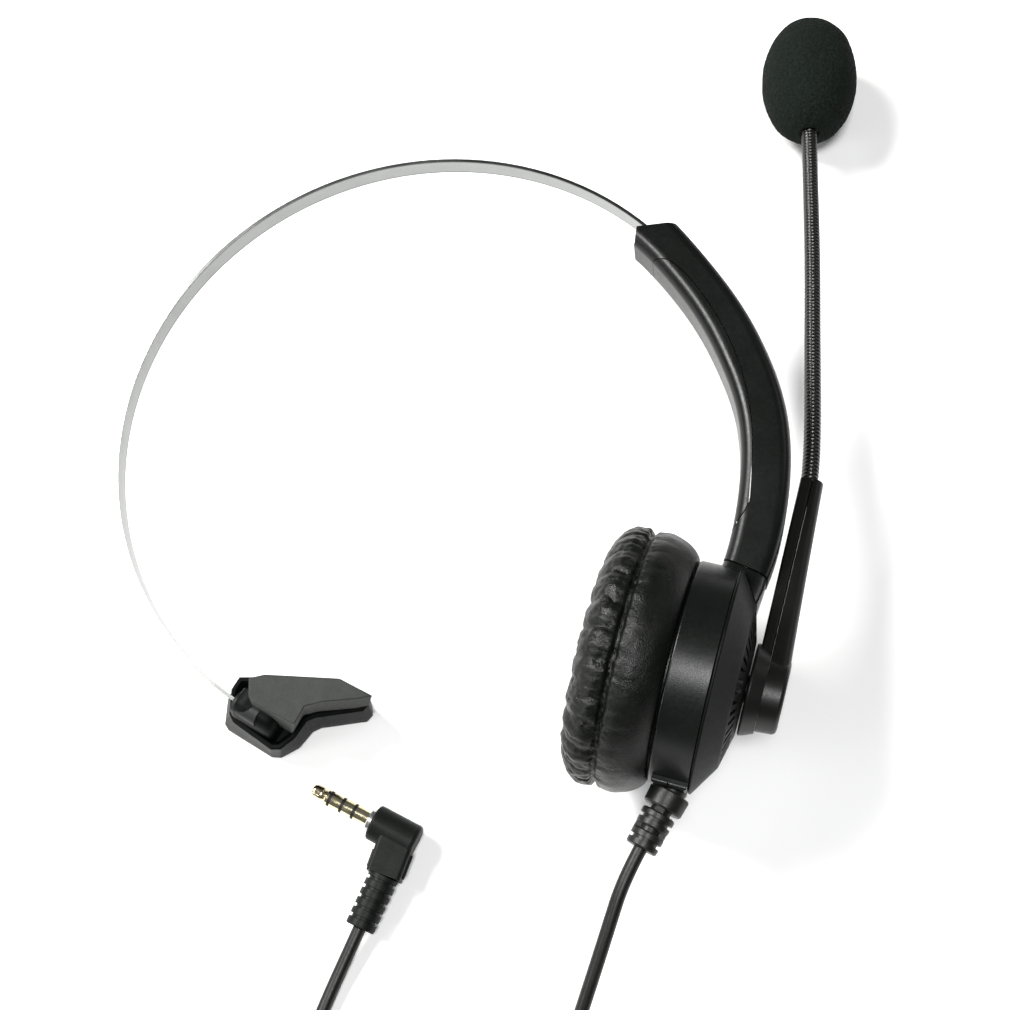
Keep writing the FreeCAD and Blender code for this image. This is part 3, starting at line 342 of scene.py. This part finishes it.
def turn_at(travel):
    """Radius and height after so many degrees of clockwise travel from the lead's joining point."""
    theta = 5.8 - travel
    past = travel - (5.8 - JOG + 360) % 360     # degrees past the first jog's centre
    i = math.floor((past + 180) / 360)          # nearest jog's number
    off = past - 360 * i
    a = min(max(i, 0), len(slots) - 1)
    b = min(max(i + 1, 0), len(slots) - 1)
    if i < 0:
        a = b = 0
    f = min(1, max(0, (off + HALF) / (2 * HALF)))
    if i < 0:
        f = 0.0
    s = f * f * (3 - 2 * f)
    (r0, z0), (r1, z1) = slots[a], slots[b]
    r, z = r0 + (r1 - r0) * s, z0 + (z1 - z0) * s
    if abs(z1 - z0) > 1:
        r += (-1.7 if r0 < 16 else 1.5) * math.sin(math.pi * f)
    near = (theta + 90 + 180) % 360 - 180
    z += 0.95 * math.exp(-(near / 32.0) ** 2)
    return theta, r, z


coil = []
total = 181.4 + 360 * 11
n_pts = int(total / 360 * STEPS)
for j in range(1, n_pts):
    th, r, z = turn_at(total * j / n_pts)
    w = math.radians(th)
    coil.append((CX + r * math.cos(w) * 1.008, CY + r * math.sin(w) * 1.008, z))
route = LEAD + coil + TAIL

curve = D.curves.new("cord", "CURVE")
curve.dimensions = "3D"
curve.bevel_depth = CORD_D / 2000
curve.bevel_resolution = 6
curve.resolution_u = 8
curve.use_fill_caps = True
sp = curve.splines.new("NURBS")
sp.points.add(len(route) - 1)
for q, c in zip(sp.points, route):
    q.co = (*P(*c), 1)
sp.order_u = 3
sp.use_endpoint_u = True
cord = D.objects.new("cord", curve)
SC.collection.objects.link(cord)
cord.data.materials.append(M["pvc"])


def spline_length(o):
    plain = o.data.copy()
    plain.bevel_depth = 0
    t = D.objects.new("measure", plain)
    SC.collection.objects.link(t)
    bpy.context.view_layer.update()
    me = D.meshes.new_from_object(t.evaluated_get(bpy.context.evaluated_depsgraph_get()))
    co = [v.co.copy() for v in me.vertices]
    D.objects.remove(t)
    D.meshes.remove(me)
    return sum((a - b).length for a, b in zip(co, co[1:]))


CORD_LEN = spline_length(cord)
print("cord length", CORD_LEN)
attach(cord, "ear_cup")
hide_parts("cord_lead", "cord_coil", "cord_tail")


# ------------------------------------------------------------------ mesh helpers
def add_object(name, verts, faces, mat, body, smooth=True):
    me = D.meshes.new(name)
    me.from_pydata([tuple(v) for v in verts], [], faces)
    me.validate()
    bm = bmesh.new()
    bm.from_mesh(me)
    bmesh.ops.recalc_face_normals(bm, faces=bm.faces)
    bm.to_mesh(me)
    bm.free()
    me.materials.append(mat)
    for p in me.polygons:
        p.use_smooth = smooth
    o = D.objects.new(name, me)
    SC.collection.objects.link(o)
    if body:
        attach(o, body)
    return o


def lathe(profile, segs, m, closed=False):
    """Verts and faces of a profile [(r, z)] turned about local z; r 0 at an end closes it with a pole."""
    verts, faces = [], []
    rings = []
    for r, z in profile:
        if r < 1e-6:
            rings.append([len(verts)])
            verts.append(m @ Vector((0, 0, z)))
        else:
            rings.append(list(range(len(verts), len(verts) + segs)))
            verts += [m @ Vector((r * math.cos(2 * math.pi * i / segs), r * math.sin(2 * math.pi * i / segs), z)) for i in range(segs)]
    pairs = list(zip(rings, rings[1:]))
    if closed:
        pairs.append((rings[-1], rings[0]))
    for a, b in pairs:
        for i in range(segs):
            j = (i + 1) % segs
            if len(a) == 1 and len(b) == 1:
                continue
            if len(a) == 1:
                faces.append((a[0], b[i], b[j]))
            elif len(b) == 1:
                faces.append((a[i], b[0], a[j]))
            else:
                faces.append((a[i], b[i], b[j], a[j]))
    return verts, faces


def fbm(v, scale, octaves=3):
    s, a, t = 0.0, 1.0, 0.0
    for _ in range(octaves):
        s += a * noise.noise(v * scale)
        t += a
        a *= 0.5
        scale *= 2.03
    return s / t


def apply_all(o):
    bpy.context.view_layer.update()
    dg = bpy.context.evaluated_depsgraph_get()
    me = D.meshes.new_from_object(o.evaluated_get(dg))
    old = o.data
    o.modifiers.clear()
    o.data = me
    D.meshes.remove(old)
    return o


# ------------------------------------------------------------------ ear cushion: sewn, stuffed ring of leather-cloth
R_IN = 13.0


def cushion_profile():
    """Closed (r, t) loop of the stuffed ring, before the cloth is simulated."""
    pts = []

    def arc(p0, pm, p1, n):
        (x0, y0), (xm, ym), (x1, y1) = p0, pm, p1
        d = 2 * (x0 * (ym - y1) + xm * (y1 - y0) + x1 * (y0 - ym))
        ux = ((x0 * x0 + y0 * y0) * (ym - y1) + (xm * xm + ym * ym) * (y1 - y0) + (x1 * x1 + y1 * y1) * (y0 - ym)) / d
        uy = ((x0 * x0 + y0 * y0) * (x1 - xm) + (xm * xm + ym * ym) * (x0 - x1) + (x1 * x1 + y1 * y1) * (xm - x0)) / d
        a0, am, a1 = (math.atan2(q[1] - uy, q[0] - ux) for q in (p0, pm, p1))
        rad = math.hypot(x0 - ux, y0 - uy)
        while am - a0 > math.pi:
            am -= 2 * math.pi
        while am - a0 < -math.pi:
            am += 2 * math.pi
        while a1 - am > math.pi:
            a1 -= 2 * math.pi
        while a1 - am < -math.pi:
            a1 += 2 * math.pi
        for i in range(n):
            a = a0 + (a1 - a0) * i / n
            pts.append((ux + rad * math.cos(a), uy + rad * math.sin(a)))

    arc((R_IN + 0.3, 1.3), (R_IN + 0.2, -1.5), (R_IN + 0.7, -4.4), 6)
    arc((R_IN + 0.7, -4.4), (19.6, -8.2), (26.0, -6.2), 16)
    arc((26.0, -6.2), (28.3, -3.3), (27.0, -0.25), 8)
    arc((27.0, -0.15), (28.1, 2.6), (27.45, 5.4), 8)
    arc((27.45, 5.4), (26.5, 7.7), (24.7, 9.7), 7)
    pts.append((24.2, 10.05))
    pts.append((22.6, 10.1))
    pts.append((21.9, 9.9))
    pts.append((21.9, 2.0))
    pts.append((20.0, 1.75))
    pts.append((15.5, 1.75))
    return pts


def make_cushion():
    segs = 220
    big = Matrix.Scale(0.01, 4)                 # simulated at ten times its size, as stiffness is for larger pads
    v, f = lathe(cushion_profile(), segs, big, closed=True)
    me = D.meshes.new("ear_pad")
    me.from_pydata(v, [], f)
    bm = bmesh.new()
    bm.from_mesh(me)
    bmesh.ops.recalc_face_normals(bm, faces=bm.faces)
    bm.to_mesh(me)
    bm.free()
    o = D.objects.new("ear_pad", me)
    SC.collection.objects.link(o)
    rm = o.modifiers.new("remesh", "REMESH")
    rm.mode = "VOXEL"
    rm.voxel_size = 0.0088
    apply_all(o)
    co = np.zeros(len(o.data.vertices) * 3)
    o.data.vertices.foreach_get("co", co)
    co = co.reshape(-1, 3) / 0.01
    rr, tt = np.hypot(co[:, 0], co[:, 1]), co[:, 2]
    pin = o.vertex_groups.new(name="pin")
    grow = o.vertex_groups.new(name="grow")
    seam = (np.abs(tt + 0.2) < 0.55) & (rr > 25.5)
    back = ((tt > 9.3) & (rr < 25)) | ((rr < 22.3) & (tt > 1.2))
    inner = (rr < R_IN + 1.2) & (tt > -1.0)
    for i in range(len(co)):
        if seam[i] or back[i] or inner[i]:
            pin.add([i], 1.0, "REPLACE")
        front = tt[i] < -0.2
        g = 1.0 if (front and rr[i] > 16) else (0.45 if rr[i] > 24 and tt[i] < 5.0 else 0.15)
        grow.add([i], g, "REPLACE")
    cl = o.modifiers.new("cloth", "CLOTH")
    s = cl.settings
    s.quality = 6
    s.mass = 0.25
    s.tension_stiffness = s.compression_stiffness = 12
    s.shear_stiffness = 6
    s.bending_stiffness = 0.06
    s.use_pressure = True
    s.uniform_pressure_force = 4.0
    s.effector_weights.gravity = 0
    s.vertex_group_mass = "pin"
    s.vertex_group_shrink = "grow"
    s.shrink_min = 0.0
    s.shrink_max = -0.10
    cl.collision_settings.use_collision = False
    cl.point_cache.frame_start = 1
    cl.point_cache.frame_end = 20
    for fr in range(1, 21):
        SC.frame_set(fr)
    dg = bpy.context.evaluated_depsgraph_get()
    ev = o.evaluated_get(dg)
    new = np.zeros(len(ev.data.vertices) * 3)
    ev.data.vertices.foreach_get("co", new)
    new = new.reshape(-1, 3) / 0.01
    o.modifiers.clear()
    move = new - co
    length = np.linalg.norm(move, axis=1)
    cap = 0.85
    move *= np.minimum(1.0, cap / np.maximum(length, 1e-9))[:, None]
    co = co + move
    print("cushion cloth: moved mean %.2f mm, most %.2f mm before the cap" % (length.mean(), length.max()))
    SC.frame_set(1)
    o.vertex_groups.clear()
    o.data.vertices.foreach_set("co", (co * 0.01).ravel())
    sub = o.modifiers.new("sub", "SUBSURF")
    sub.levels = sub.render_levels = 1
    sub.subdivision_type = "CATMULL_CLARK"
    apply_all(o)
    # seam, gathered folds and creases, laid into the surface
    me = o.data
    n = len(me.vertices)
    co, no = np.zeros(n * 3), np.zeros(n * 3)
    me.vertices.foreach_get("co", co)
    me.vertices.foreach_get("normal", no)
    co, no = co.reshape(-1, 3) / 0.01, no.reshape(-1, 3)
    rr, tt = np.hypot(co[:, 0], co[:, 1]), co[:, 2]
    ph = np.arctan2(co[:, 1], co[:, 0])
    out = np.zeros(n)
    for i in range(n):
        r, t, a = rr[i], tt[i], ph[i]
        if t > 8.8 and r < 24.3 or (r < 22.2 and t > 0.9):
            continue
        d = 0.0
        front = t < -0.2
        # distance along the section from the seam, in mm
        if r > 24:
            s = t + 0.2
        else:
            s = -(6.5 + (24 - r)) if t < 0 else 9.0
        p = Vector((math.cos(a) * 3.0, math.sin(a) * 3.0, s * 0.03))
        if front:
            fade = math.exp(-max(0, -s - 12) / 6.0)
            q = a * 26 + 2.6 * fbm(p, 1.1, 2) + 0.55 * fbm(Vector((a * 9, s * 0.35, 3.0)), 1.0, 2) * 2
            crease = 1 - abs(math.sin(q * 0.5)) ** 0.55
            amp = 0.42 + 0.55 * max(0.0, fbm(Vector((math.cos(a) * 5, math.sin(a) * 5, 2.0)), 1.4, 2) + 0.1)
            d -= amp * 1.5 * crease * fade * min(1, abs(s) / 0.8)
            q2 = a * 71 + 3.2 * fbm(Vector((math.cos(a) * 6, math.sin(a) * 6, s * 0.12 + 9)), 1.2, 3)
            d -= 0.26 * (1 - abs(math.sin(q2 * 0.5)) ** 0.6) * fade * math.exp(-abs(abs(s) - 4) / 7.0)
            d += 0.34 * fbm(Vector((a * 12, s * 0.5, 7.0)), 1.3, 3) * fade
        elif r > 23:
            fade = math.exp(-abs(s) / 2.4)
            q = a * 34 + 2.4 * fbm(p, 1.3, 2) + 1.1 * fbm(Vector((a * 10, s * 0.4, 5.0)), 1.0, 2)
            d -= 0.95 * (1 - abs(math.sin(q * 0.5)) ** 0.6) * fade * (0.4 + 0.9 * abs(fbm(Vector((math.cos(a) * 4, math.sin(a) * 4, 8.0)), 1.5, 2))) * min(1, abs(s) / 0.5)
            d += 0.10 * fbm(Vector((a * 8, s * 0.22, 17.0)), 1.0, 2)
            d *= min(1.0, max(0.0, (7.5 - s) / 3.0))
        if r > 24:
            d -= 0.75 * math.exp(-(s / 0.42) ** 2)
            d += 0.16 * math.exp(-((abs(s) - 1.1) / 0.5) ** 2) * (0.7 + 0.5 * math.sin(a * 96))
        out[i] = d
    co = co + no * out[:, None]
    m = np.array(CUP)
    row = co @ m[:3, :3].T + m[:3, 3]
    # it lies on the table where it is lowest
    floor = 0.00002
    low = row[:, 2] < floor
    row[low, 2] = floor
    me.vertices.foreach_set("co", row.ravel())
    for poly in me.polygons:
        poly.use_smooth = True
    me.materials.clear()
    me.materials.append(M["leather"])
    me.update()
    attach(o, "ear_cup")
    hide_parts("ear_cushion")
    return o


cushion = make_cushion()

# seam cord sewn into the groove
seam_pts = []
for i in range(144):
    a = 2 * math.pi * i / 144
    seam_pts.append((26.45 + 0.05 * math.sin(a * 37), a, -0.2 + 0.08 * fbm(Vector((math.cos(a) * 3, math.sin(a) * 3, 0)), 2.0, 2)))
sv, sf = [], []
for k_, (r, a, t) in enumerate(seam_pts):
    for j in range(8):
        b = 2 * math.pi * j / 8
        rad = 0.26 * (1 + 0.12 * math.sin(a * 144 / 2 + j))
        sv.append(CUP @ Vector(((r + rad * math.cos(b)) * math.cos(a), (r + rad * math.cos(b)) * math.sin(a), t + rad * math.sin(b))))
        k2 = (k_ + 1) % 144
        sf.append((k_ * 8 + j, k_ * 8 + (j + 1) % 8, k2 * 8 + (j + 1) % 8, k2 * 8 + j))
seam = add_object("ear_pad_seam", sv, sf, M["leather"], "ear_cup")

# speaker cloth: sagging woven disc behind the opening
prof = [(0, 1.28), (2, 1.30), (4, 1.36), (6, 1.44), (8, 1.52), (10, 1.60), (12, 1.68), (13.4, 1.73), (18, 1.74), (20.4, 1.76), (20.5, 1.86),
        (18, 1.93), (10, 1.9), (0, 1.88)]
v, f = lathe(prof, 96, CUP)
cloth = add_object("speaker_cover_cloth", v, f, M["cloth"], "ear_cup")
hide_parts("speaker_cloth")


# ------------------------------------------------------------------ windscreen: open-cell foam ball over the microphone
def make_windscreen():
    segs, rings = 260, 190
    prof = []
    for i in range(rings + 1):
        a = -math.pi / 2 + math.pi * i / rings
        c, s = math.cos(a), math.sin(a)
        r = 12.35 * (abs(c) ** 0.80)
        z = 17.5 * math.copysign(abs(s) ** 0.96, s)
        if s < 0 and r < 2.45:
            continue
        prof.append((max(r, 0.0), z))
    z0 = prof[0][1]
    prof = [(0.0, z0 + 4.2), (1.5, z0 + 4.1), (2.15, z0 + 3.4), (2.2, z0 + 1.4), (2.3, z0 + 0.35)] + prof
    prof[-1] = (0.0, prof[-1][1])
    verts, faces = lathe(prof, segs, Matrix.Identity(4))
    c = np.array([tuple(v) for v in verts])
    out = []
    for v in verts:
        n = Vector((v.x / 12.4 ** 2, v.y / 12.4 ** 2, v.z / 17.6 ** 2))
        n = n.normalized() if n.length > 0 else Vector((0, 0, 1))
        d = 0.0
        if v.z > z0 + 0.2 and (v.x ** 2 + v.y ** 2) > 2.4 ** 2 or v.z > 0:
            cell = noise.voronoi(v * 1.15)[0]
            d = -0.40 * max(0.0, 0.55 - cell[0]) + 0.10 * noise.noise(v * 2.9) + 0.28 * noise.noise(v * 0.16) - 0.05
        out.append(FOAM @ (v + n * d))
    return out, faces


v, f = make_windscreen()
screen = add_object("foam_windscreen", v, f, M["foam"], "mic_end")
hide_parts("windscreen")


# ------------------------------------------------------------------ gooseneck: wound sleeve, one length across each joint
def neck_path():
    pts = [Vector(p) for p in GOOSE]
    start = pts[0] - (pts[1] - pts[0]).normalized() * 3.2
    end = pts[-1] + (pts[-1] - pts[-2]).normalized() * 8.0
    raw = [start] + pts[1:-1] + [end]
    # a smooth line through the joints
    dense = []
    for i in range(len(raw) - 1):
        p0 = raw[max(i - 1, 0)]
        p1, p2 = raw[i], raw[i + 1]
        p3 = raw[min(i + 2, len(raw) - 1)]
        for k_ in range(60):
            t = k_ / 60
            dense.append(0.5 * ((2 * p1) + (p2 - p0) * t + (2 * p0 - 5 * p1 + 4 * p2 - p3) * t * t + (3 * p1 - p0 - 3 * p2 + p3) * t ** 3))
    dense.append(raw[-1])
    s = [0.0]
    for a, b in zip(dense, dense[1:]):
        s.append(s[-1] + (b - a).length)
    return dense, s


DENSE, ARC = neck_path()


def neck_at(s):
    i = int(np.clip(np.searchsorted(ARC, s) - 1, 0, len(ARC) - 2))
    f = (s - ARC[i]) / (ARC[i + 1] - ARC[i])
    return DENSE[i].lerp(DENSE[i + 1], f), (DENSE[i + 1] - DENSE[i]).normalized()


def nearest_s(p):
    p = Vector(p)
    return ARC[min(range(len(DENSE)), key=lambda i: (DENSE[i] - p).length)]


PITCH = 1.0
RIB = [(0.0, 1.64), (0.12, 1.80), (0.30, 1.93), (0.5, 1.97), (0.70, 1.93), (0.88, 1.80)]


def neck_piece(name, s0, s1, cap0, cap1):
    segs = 32
    verts, faces, rings = [], [], []

    def ring(s, r):
        p, d = neck_at(s)
        x = d.cross(Vector((0, 0, 1))).normalized()
        y = x.cross(d)
        idx = []
        for i in range(segs):
            a = 2 * math.pi * i / segs
            idx.append(len(verts))
            q = p + (x * math.cos(a) + y * math.sin(a)) * r
            verts.append(P(*q))
        rings.append(idx)

    n = int(round((s1 - s0) / PITCH))
    step = (s1 - s0) / n
    ring(s0, 0.9 if cap0 else 1.64)
    for i in range(n):
        for u, r in RIB:
            ring(s0 + (i + u) * step, r)
    ring(s1, 1.64)
    if cap1:
        ring(s1, 0.9)
    for a, b in zip(rings, rings[1:]):
        for i in range(segs):
            j = (i + 1) % segs
            faces.append((a[i], b[i], b[j], a[j]))
    faces.append(tuple(rings[0]))
    faces.append(tuple(reversed(rings[-1])))
    return add_object(name, verts, faces, M["goose"], None)


s_j = [nearest_s(p) for p in GOOSE[2:5]]
cuts = [ARC[0], (s_j[0] + s_j[1]) / 2, (s_j[1] + s_j[2]) / 2, ARC[-1]]
stand = [("gooseneck_root",), ("gooseneck_lower", "gooseneck_middle"), ("gooseneck_upper", "mic_ferrule")]
for i in range(3):
    o = neck_piece("gooseneck_sleeve_%d" % (i + 1), cuts[i] + (0.0 if i == 0 else 0.0), cuts[i + 1], i == 0, i == 2)
    c, d = neck_at(s_j[i])
    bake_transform(o)
    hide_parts(*stand[i])


# ------------------------------------------------------------------ temple pad: matt rubber cap on its stem
def prism(loops, name, mat, body, bevel, segs=4):
    """Closed solid through polygon loops [(points, z)], then rounded edges."""
    verts, faces, n = [], [], len(loops[0][0])
    for pts, z in loops:
        verts += [P(x, y, z) for x, y in pts]
    for k_ in range(len(loops) - 1):
        for i in range(n):
            j = (i + 1) % n
            faces.append((k_ * n + i, k_ * n + j, (k_ + 1) * n + j, (k_ + 1) * n + i))
    faces.append(tuple(range(n)))
    faces.append(tuple(range((len(loops) - 1) * n, len(loops) * n)))
    o = add_object(name, verts, faces, mat, body, smooth=True)
    b = o.modifiers.new("bevel", "BEVEL")
    b.width = bevel / 1000
    b.segments = segs
    b.limit_method = "ANGLE"
    b.angle_limit = math.radians(22)
    b.harden_normals = True
    return o


CAP = [(-55.6, -49.0), (-52.2, -48.2), (-35.9, -49.1), (-28.5, -53.0), (-31.5, -53.6), (-39.8, -54.4), (-43.1, -55.3),
       (-45.2, -59.3), (-54.4, -54.5), (-55.4, -52.6)]
STEM = [(-55.2, -50.2), (-53.5, -49.8), (-38.2, -50.4), (-34.8, -52.1), (-41.8, -52.7), (-45.9, -53.9), (-47.5, -57.0), (-54.5, -53.3)]
pad = prism([([(x - 1.6, y) for x, y in CAP], 12.3), ([(x - 0.12, y) for x, y in CAP], 20.75), (CAP, 21.25)], "temple_pad_cap", M["rubber"],
            "temple_support", 0.35)
stem = prism([(STEM, 1.85), (STEM, 12.6)], "temple_pad_stem", M["rubber"], "temple_support", 0.3, 3)
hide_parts("temple_pad")

# tray of the temple pad: sloping wall, rounded rim, sunk floor, hood over the tilt pin
BASE = [(-63.9, -49.6), (-64.1, -54.6), (-63.2, -56.0), (-52.9, -62.2), (-50.7, -62.3), (-46.8, -60.1), (-43.9, -56.4), (-42.0, -55.5),
        (-31.6, -54.0), (-30.4, -52.6), (-30.4, -50.6), (-36.2, -47.1), (-52.5, -46.4), (-61.2, -46.6)]
RIM = [(-61.2, -49.0), (-61.3, -54.6), (-60.2, -56.6), (-51.6, -62.6), (-49.5, -62.6), (-46.4, -60.1), (-43.9, -56.3), (-42.0, -55.5),
       (-31.6, -54.0), (-30.3, -52.6), (-30.3, -50.6), (-36.2, -47.0), (-52.5, -46.2), (-59.6, -46.2)]


def shrink(points, d):
    n = len(points)
    area2 = sum(points[i][0] * points[(i + 1) % n][1] - points[(i + 1) % n][0] * points[i][1] for i in range(n))
    sg = 1 if area2 > 0 else -1
    out = []
    for i in range(n):
        (ax, ay), (bx, by), (cx, cy) = points[i - 1], points[i], points[(i + 1) % n]
        l1, l2 = math.hypot(bx - ax, by - ay), math.hypot(cx - bx, cy - by)
        n1 = (-(by - ay) / l1 * sg, (bx - ax) / l1 * sg)
        n2 = (-(cy - by) / l2 * sg, (cx - bx) / l2 * sg)
        kk = 1 + n1[0] * n2[0] + n1[1] * n2[1]
        out.append((bx + (n1[0] + n2[0]) * d / kk, by + (n1[1] + n2[1]) * d / kk))
    return out


MID = [(a[0] * 0.75 + b[0] * 0.25, a[1] * 0.75 + b[1] * 0.25) for a, b in zip(BASE, RIM)]
tray = prism([(shrink(BASE, 0.7), 0.31), (shrink(BASE, 0.12), 0.62), (BASE, 1.2), (MID, 4.2), (RIM, 10.2), (RIM, 11.3), (shrink(RIM, 0.35), 11.65),
              (shrink(RIM, 0.95), 11.6), (shrink(RIM, 1.25), 11.2), (shrink(RIM, 1.7), 9.6), (shrink(RIM, 2.3), 9.1)],
             "temple_pad_tray", M["tray"], "temple_support", 0.16, 3)
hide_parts("pad_tray")
PD = Vector((0.846564, -0.523004, 0.0)).normalized()
QD = Vector((0.523004, 0.846564, 0.0)).normalized()
PC = Vector((-56.541, -54.3125, 0))
hv, hf = [], []
HT = [-3.4, -3.3, -2.95, -2.2, 0, 3.0, 5.6, 6.8, 7.4, 7.8, 8.0]
HK = [0.0, 0.55, 0.85, 1.0, 1.0, 0.97, 0.92, 0.84, 0.70, 0.40, 0.0]
SEG = 20
for t, kk in zip(HT, HK):
    for j in range(SEG + 1):
        a = math.pi * j / SEG
        off = -math.cos(a) * 3.1 * (0.55 + 0.45 * kk)
        z = 9.0 + (8.95 * kk) * math.sin(a) ** 0.55
        if j > SEG / 2:
            z = max(z, 9.0 + 8.95 * kk)
        q = PC + PD * t + QD * (off + 0.1)
        hv.append(P(q.x, q.y, z))
n = SEG + 1
for i in range(len(HT) - 1):
    for j in range(SEG):
        hf.append((i * n + j, i * n + j + 1, (i + 1) * n + j + 1, (i + 1) * n + j))
for i in range(len(HT) - 1):
    hf.append((i * n, (i + 1) * n, (i + 1) * n + SEG, i * n + SEG))
hf.append(tuple(range(n)))
hf.append(tuple(range((len(HT) - 1) * n, len(HT) * n)))
hood = add_object("temple_pad_hood", hv, hf, M["tray"], "temple_support")
slot_c = P(-47.55, -58.9, 6.6)
sv_, sf_ = [], []
sd_ = Vector((0.62, 0.785, 0.0))
for (u, zz) in ((-0.9, -0.28), (0.9, -0.28), (0.9, 0.28), (-0.9, 0.28)):
    for w_ in (-0.25, 0.35):
        sv_.append(slot_c + (sd_ * u + Vector((0, 0, zz)) + Vector((0.785, -0.62, 0)) * w_) / 1000)
sf_ = [(0, 2, 4, 6), (1, 7, 5, 3), (0, 1, 3, 2), (2, 3, 5, 4), (4, 5, 7, 6), (6, 7, 1, 0)]
slot_o = add_object("temple_pad_slot", sv_, sf_, M["pocket"], "temple_support", smooth=False)
bv = slot_o.modifiers.new("bevel", "BEVEL")
bv.width = 0.00012
bv.segments = 2

# ------------------------------------------------------------------ coil tie: strap wrapped round the turns
r_mid, half_w, z_lo, z_hi, rad = 16.7, (21.3 - 12.2) / 2 + 0.45, 0.75, 14.0, 2.4


def tie_loop(off):
    w, zl, zh = half_w + off, z_lo - off, z_hi + off
    r_ = rad + off
    out = []
    for cx, cz, a0 in ((w - r_, zl + r_, -90), (w - r_, zh - r_, 0), (-(w - r_), zh - r_, 90), (-(w - r_), zl + r_, 180)):
        for k_ in range(9):
            a = math.radians(a0 + 90 * k_ / 8)
            out.append((cx + r_ * math.cos(a), cz + r_ * math.sin(a)))
    return out


inner_l, outer_l = tie_loop(0.0), tie_loop(0.42)
nn = len(inner_l)
tv, tf = [], []
for loop in (outer_l, inner_l):
    for y in (-3.0, -2.8, 2.8, 3.0):
        for i, (u, z) in enumerate(loop):
            # strap runs across the turns at the lower side of the coil
            tv.append(P(CX + y, CY - (r_mid + u), z))
for side in range(2):
    for k_ in range(3):
        for i in range(nn):
            j = (i + 1) % nn
            a = side * 4 * nn
            tf.append((a + k_ * nn + i, a + k_ * nn + j, a + (k_ + 1) * nn + j, a + (k_ + 1) * nn + i))
for k_ in (0, 3):
    for i in range(nn):
        j = (i + 1) % nn
        tf.append((k_ * nn + i, k_ * nn + j, 4 * nn + k_ * nn + j, 4 * nn + k_ * nn + i))
tie = add_object("coil_strap", tv, tf, M["tie"], "ear_cup")
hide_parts("coil_tie")

# ------------------------------------------------------------------ finishes of the CAD pieces that stay
FINISH = {
    "cup_housing": "housing", "rear_cover": "cover", "cover_screws": "plated", "speaker_baffle": "pocket", "driver_gasket": "rubber",
    "driver_frame": "plated", "driver_diaphragm": "film", "driver_voice_coil": "copper", "driver_magnet": "magnet", "driver_yoke": "plated",
    "vent_mesh": "cloth", "junction_board": "board", "speaker_leads": "pvc", "boom_spindle": "pocket", "hub_screw": "plated",
    "swivel_pin": "plated", "cord_gland": "pvc", "plug_relief": "plug_pvc", "plug_body": "plug_pvc", "plug_collar": "plated",
    "plug_sleeve": "gold", "plug_ring_rear": "gold", "plug_ring_front": "gold", "plug_tip": "gold", "plug_insulators": "pocket",
    "arm_shell": "arm", "arm_cover": "arm", "arm_screws": "plated", "detent_spring": "steel", "headband_strip": "steel",
    "strip_stop": "plated", "pad_pivot": "pocket", "pad_tray": "tray", "boom_shell": "boom", "boom_inner_cover": "boom",
    "boom_washer": "pocket", "hub_spring": "plated", "mic_ferrule": "pocket", "mic_housing": "pocket", "mic_boot": "rubber",
    "mic_capsule": "plated", "mic_grille": "cloth",
}
for name, o in NODES.items():
    if o.hide_render:
        continue
    key = FINISH[name]
    o.data.materials.clear()
    o.data.materials.append(M[key])
    for s in o.material_slots:
        s.material = M[key]

# ------------------------------------------------------------------ floor, light
k = Nodes("floor_pale")
k.set(Base_Color=k.mix(k.remap(k.noise(6, 3), 0.3, 0.7, 0, 1), (0.86, 0.86, 0.855), (0.88, 0.88, 0.876)), Roughness=0.75,
      Normal=k.bump(k.noise(900, 3), 0.00001), Specular_IOR_Level=0.2)
fm = D.meshes.new("floor")
fm.from_pydata([(-3, -3, -0.0001), (3, -3, -0.0001), (3, 3, -0.0001), (-3, 3, -0.0001)], [], [(0, 1, 2, 3)])
fm.materials.append(k.m)
floor = D.objects.new("floor", fm)
SC.collection.objects.link(floor)


def area(name, loc, target, size, power, color=(1, 1, 1)):
    l = D.lights.new(name, "AREA")
    l.shape = "RECTANGLE"
    l.size, l.size_y = size
    l.energy = power
    l.color = color
    o = D.objects.new(name, l)
    SC.collection.objects.link(o)
    o.location = loc
    o.rotation_euler = (Vector(target) - Vector(loc)).to_track_quat("-Z", "Y").to_euler()
    return o


area("key", (-0.80, 0.34, 0.88), (0, 0, 0), (0.42, 0.42), 26.0, (1.0, 0.995, 0.98))
area("top", (-0.05, -0.36, 1.2), (0.02, -0.05, 0), (0.30, 0.30), 13.0)
area("side", (-0.9, -0.45, 0.5), (0, 0, 0), (0.35, 0.3), 4.0, (0.98, 0.99, 1.0))
area("fill", (0.95, 0.5, 0.75), (0.05, 0, 0), (0.6, 0.5), 1.0, (1.0, 0.995, 0.985))
w = D.worlds.new("world")
SC.world = w
w.use_nodes = True
w.node_tree.nodes["Background"].inputs[0].default_value = (0.95, 0.97, 1.0, 1)
w.node_tree.nodes["Background"].inputs[1].default_value = 0.13
SC.view_settings.view_transform = "Standard"
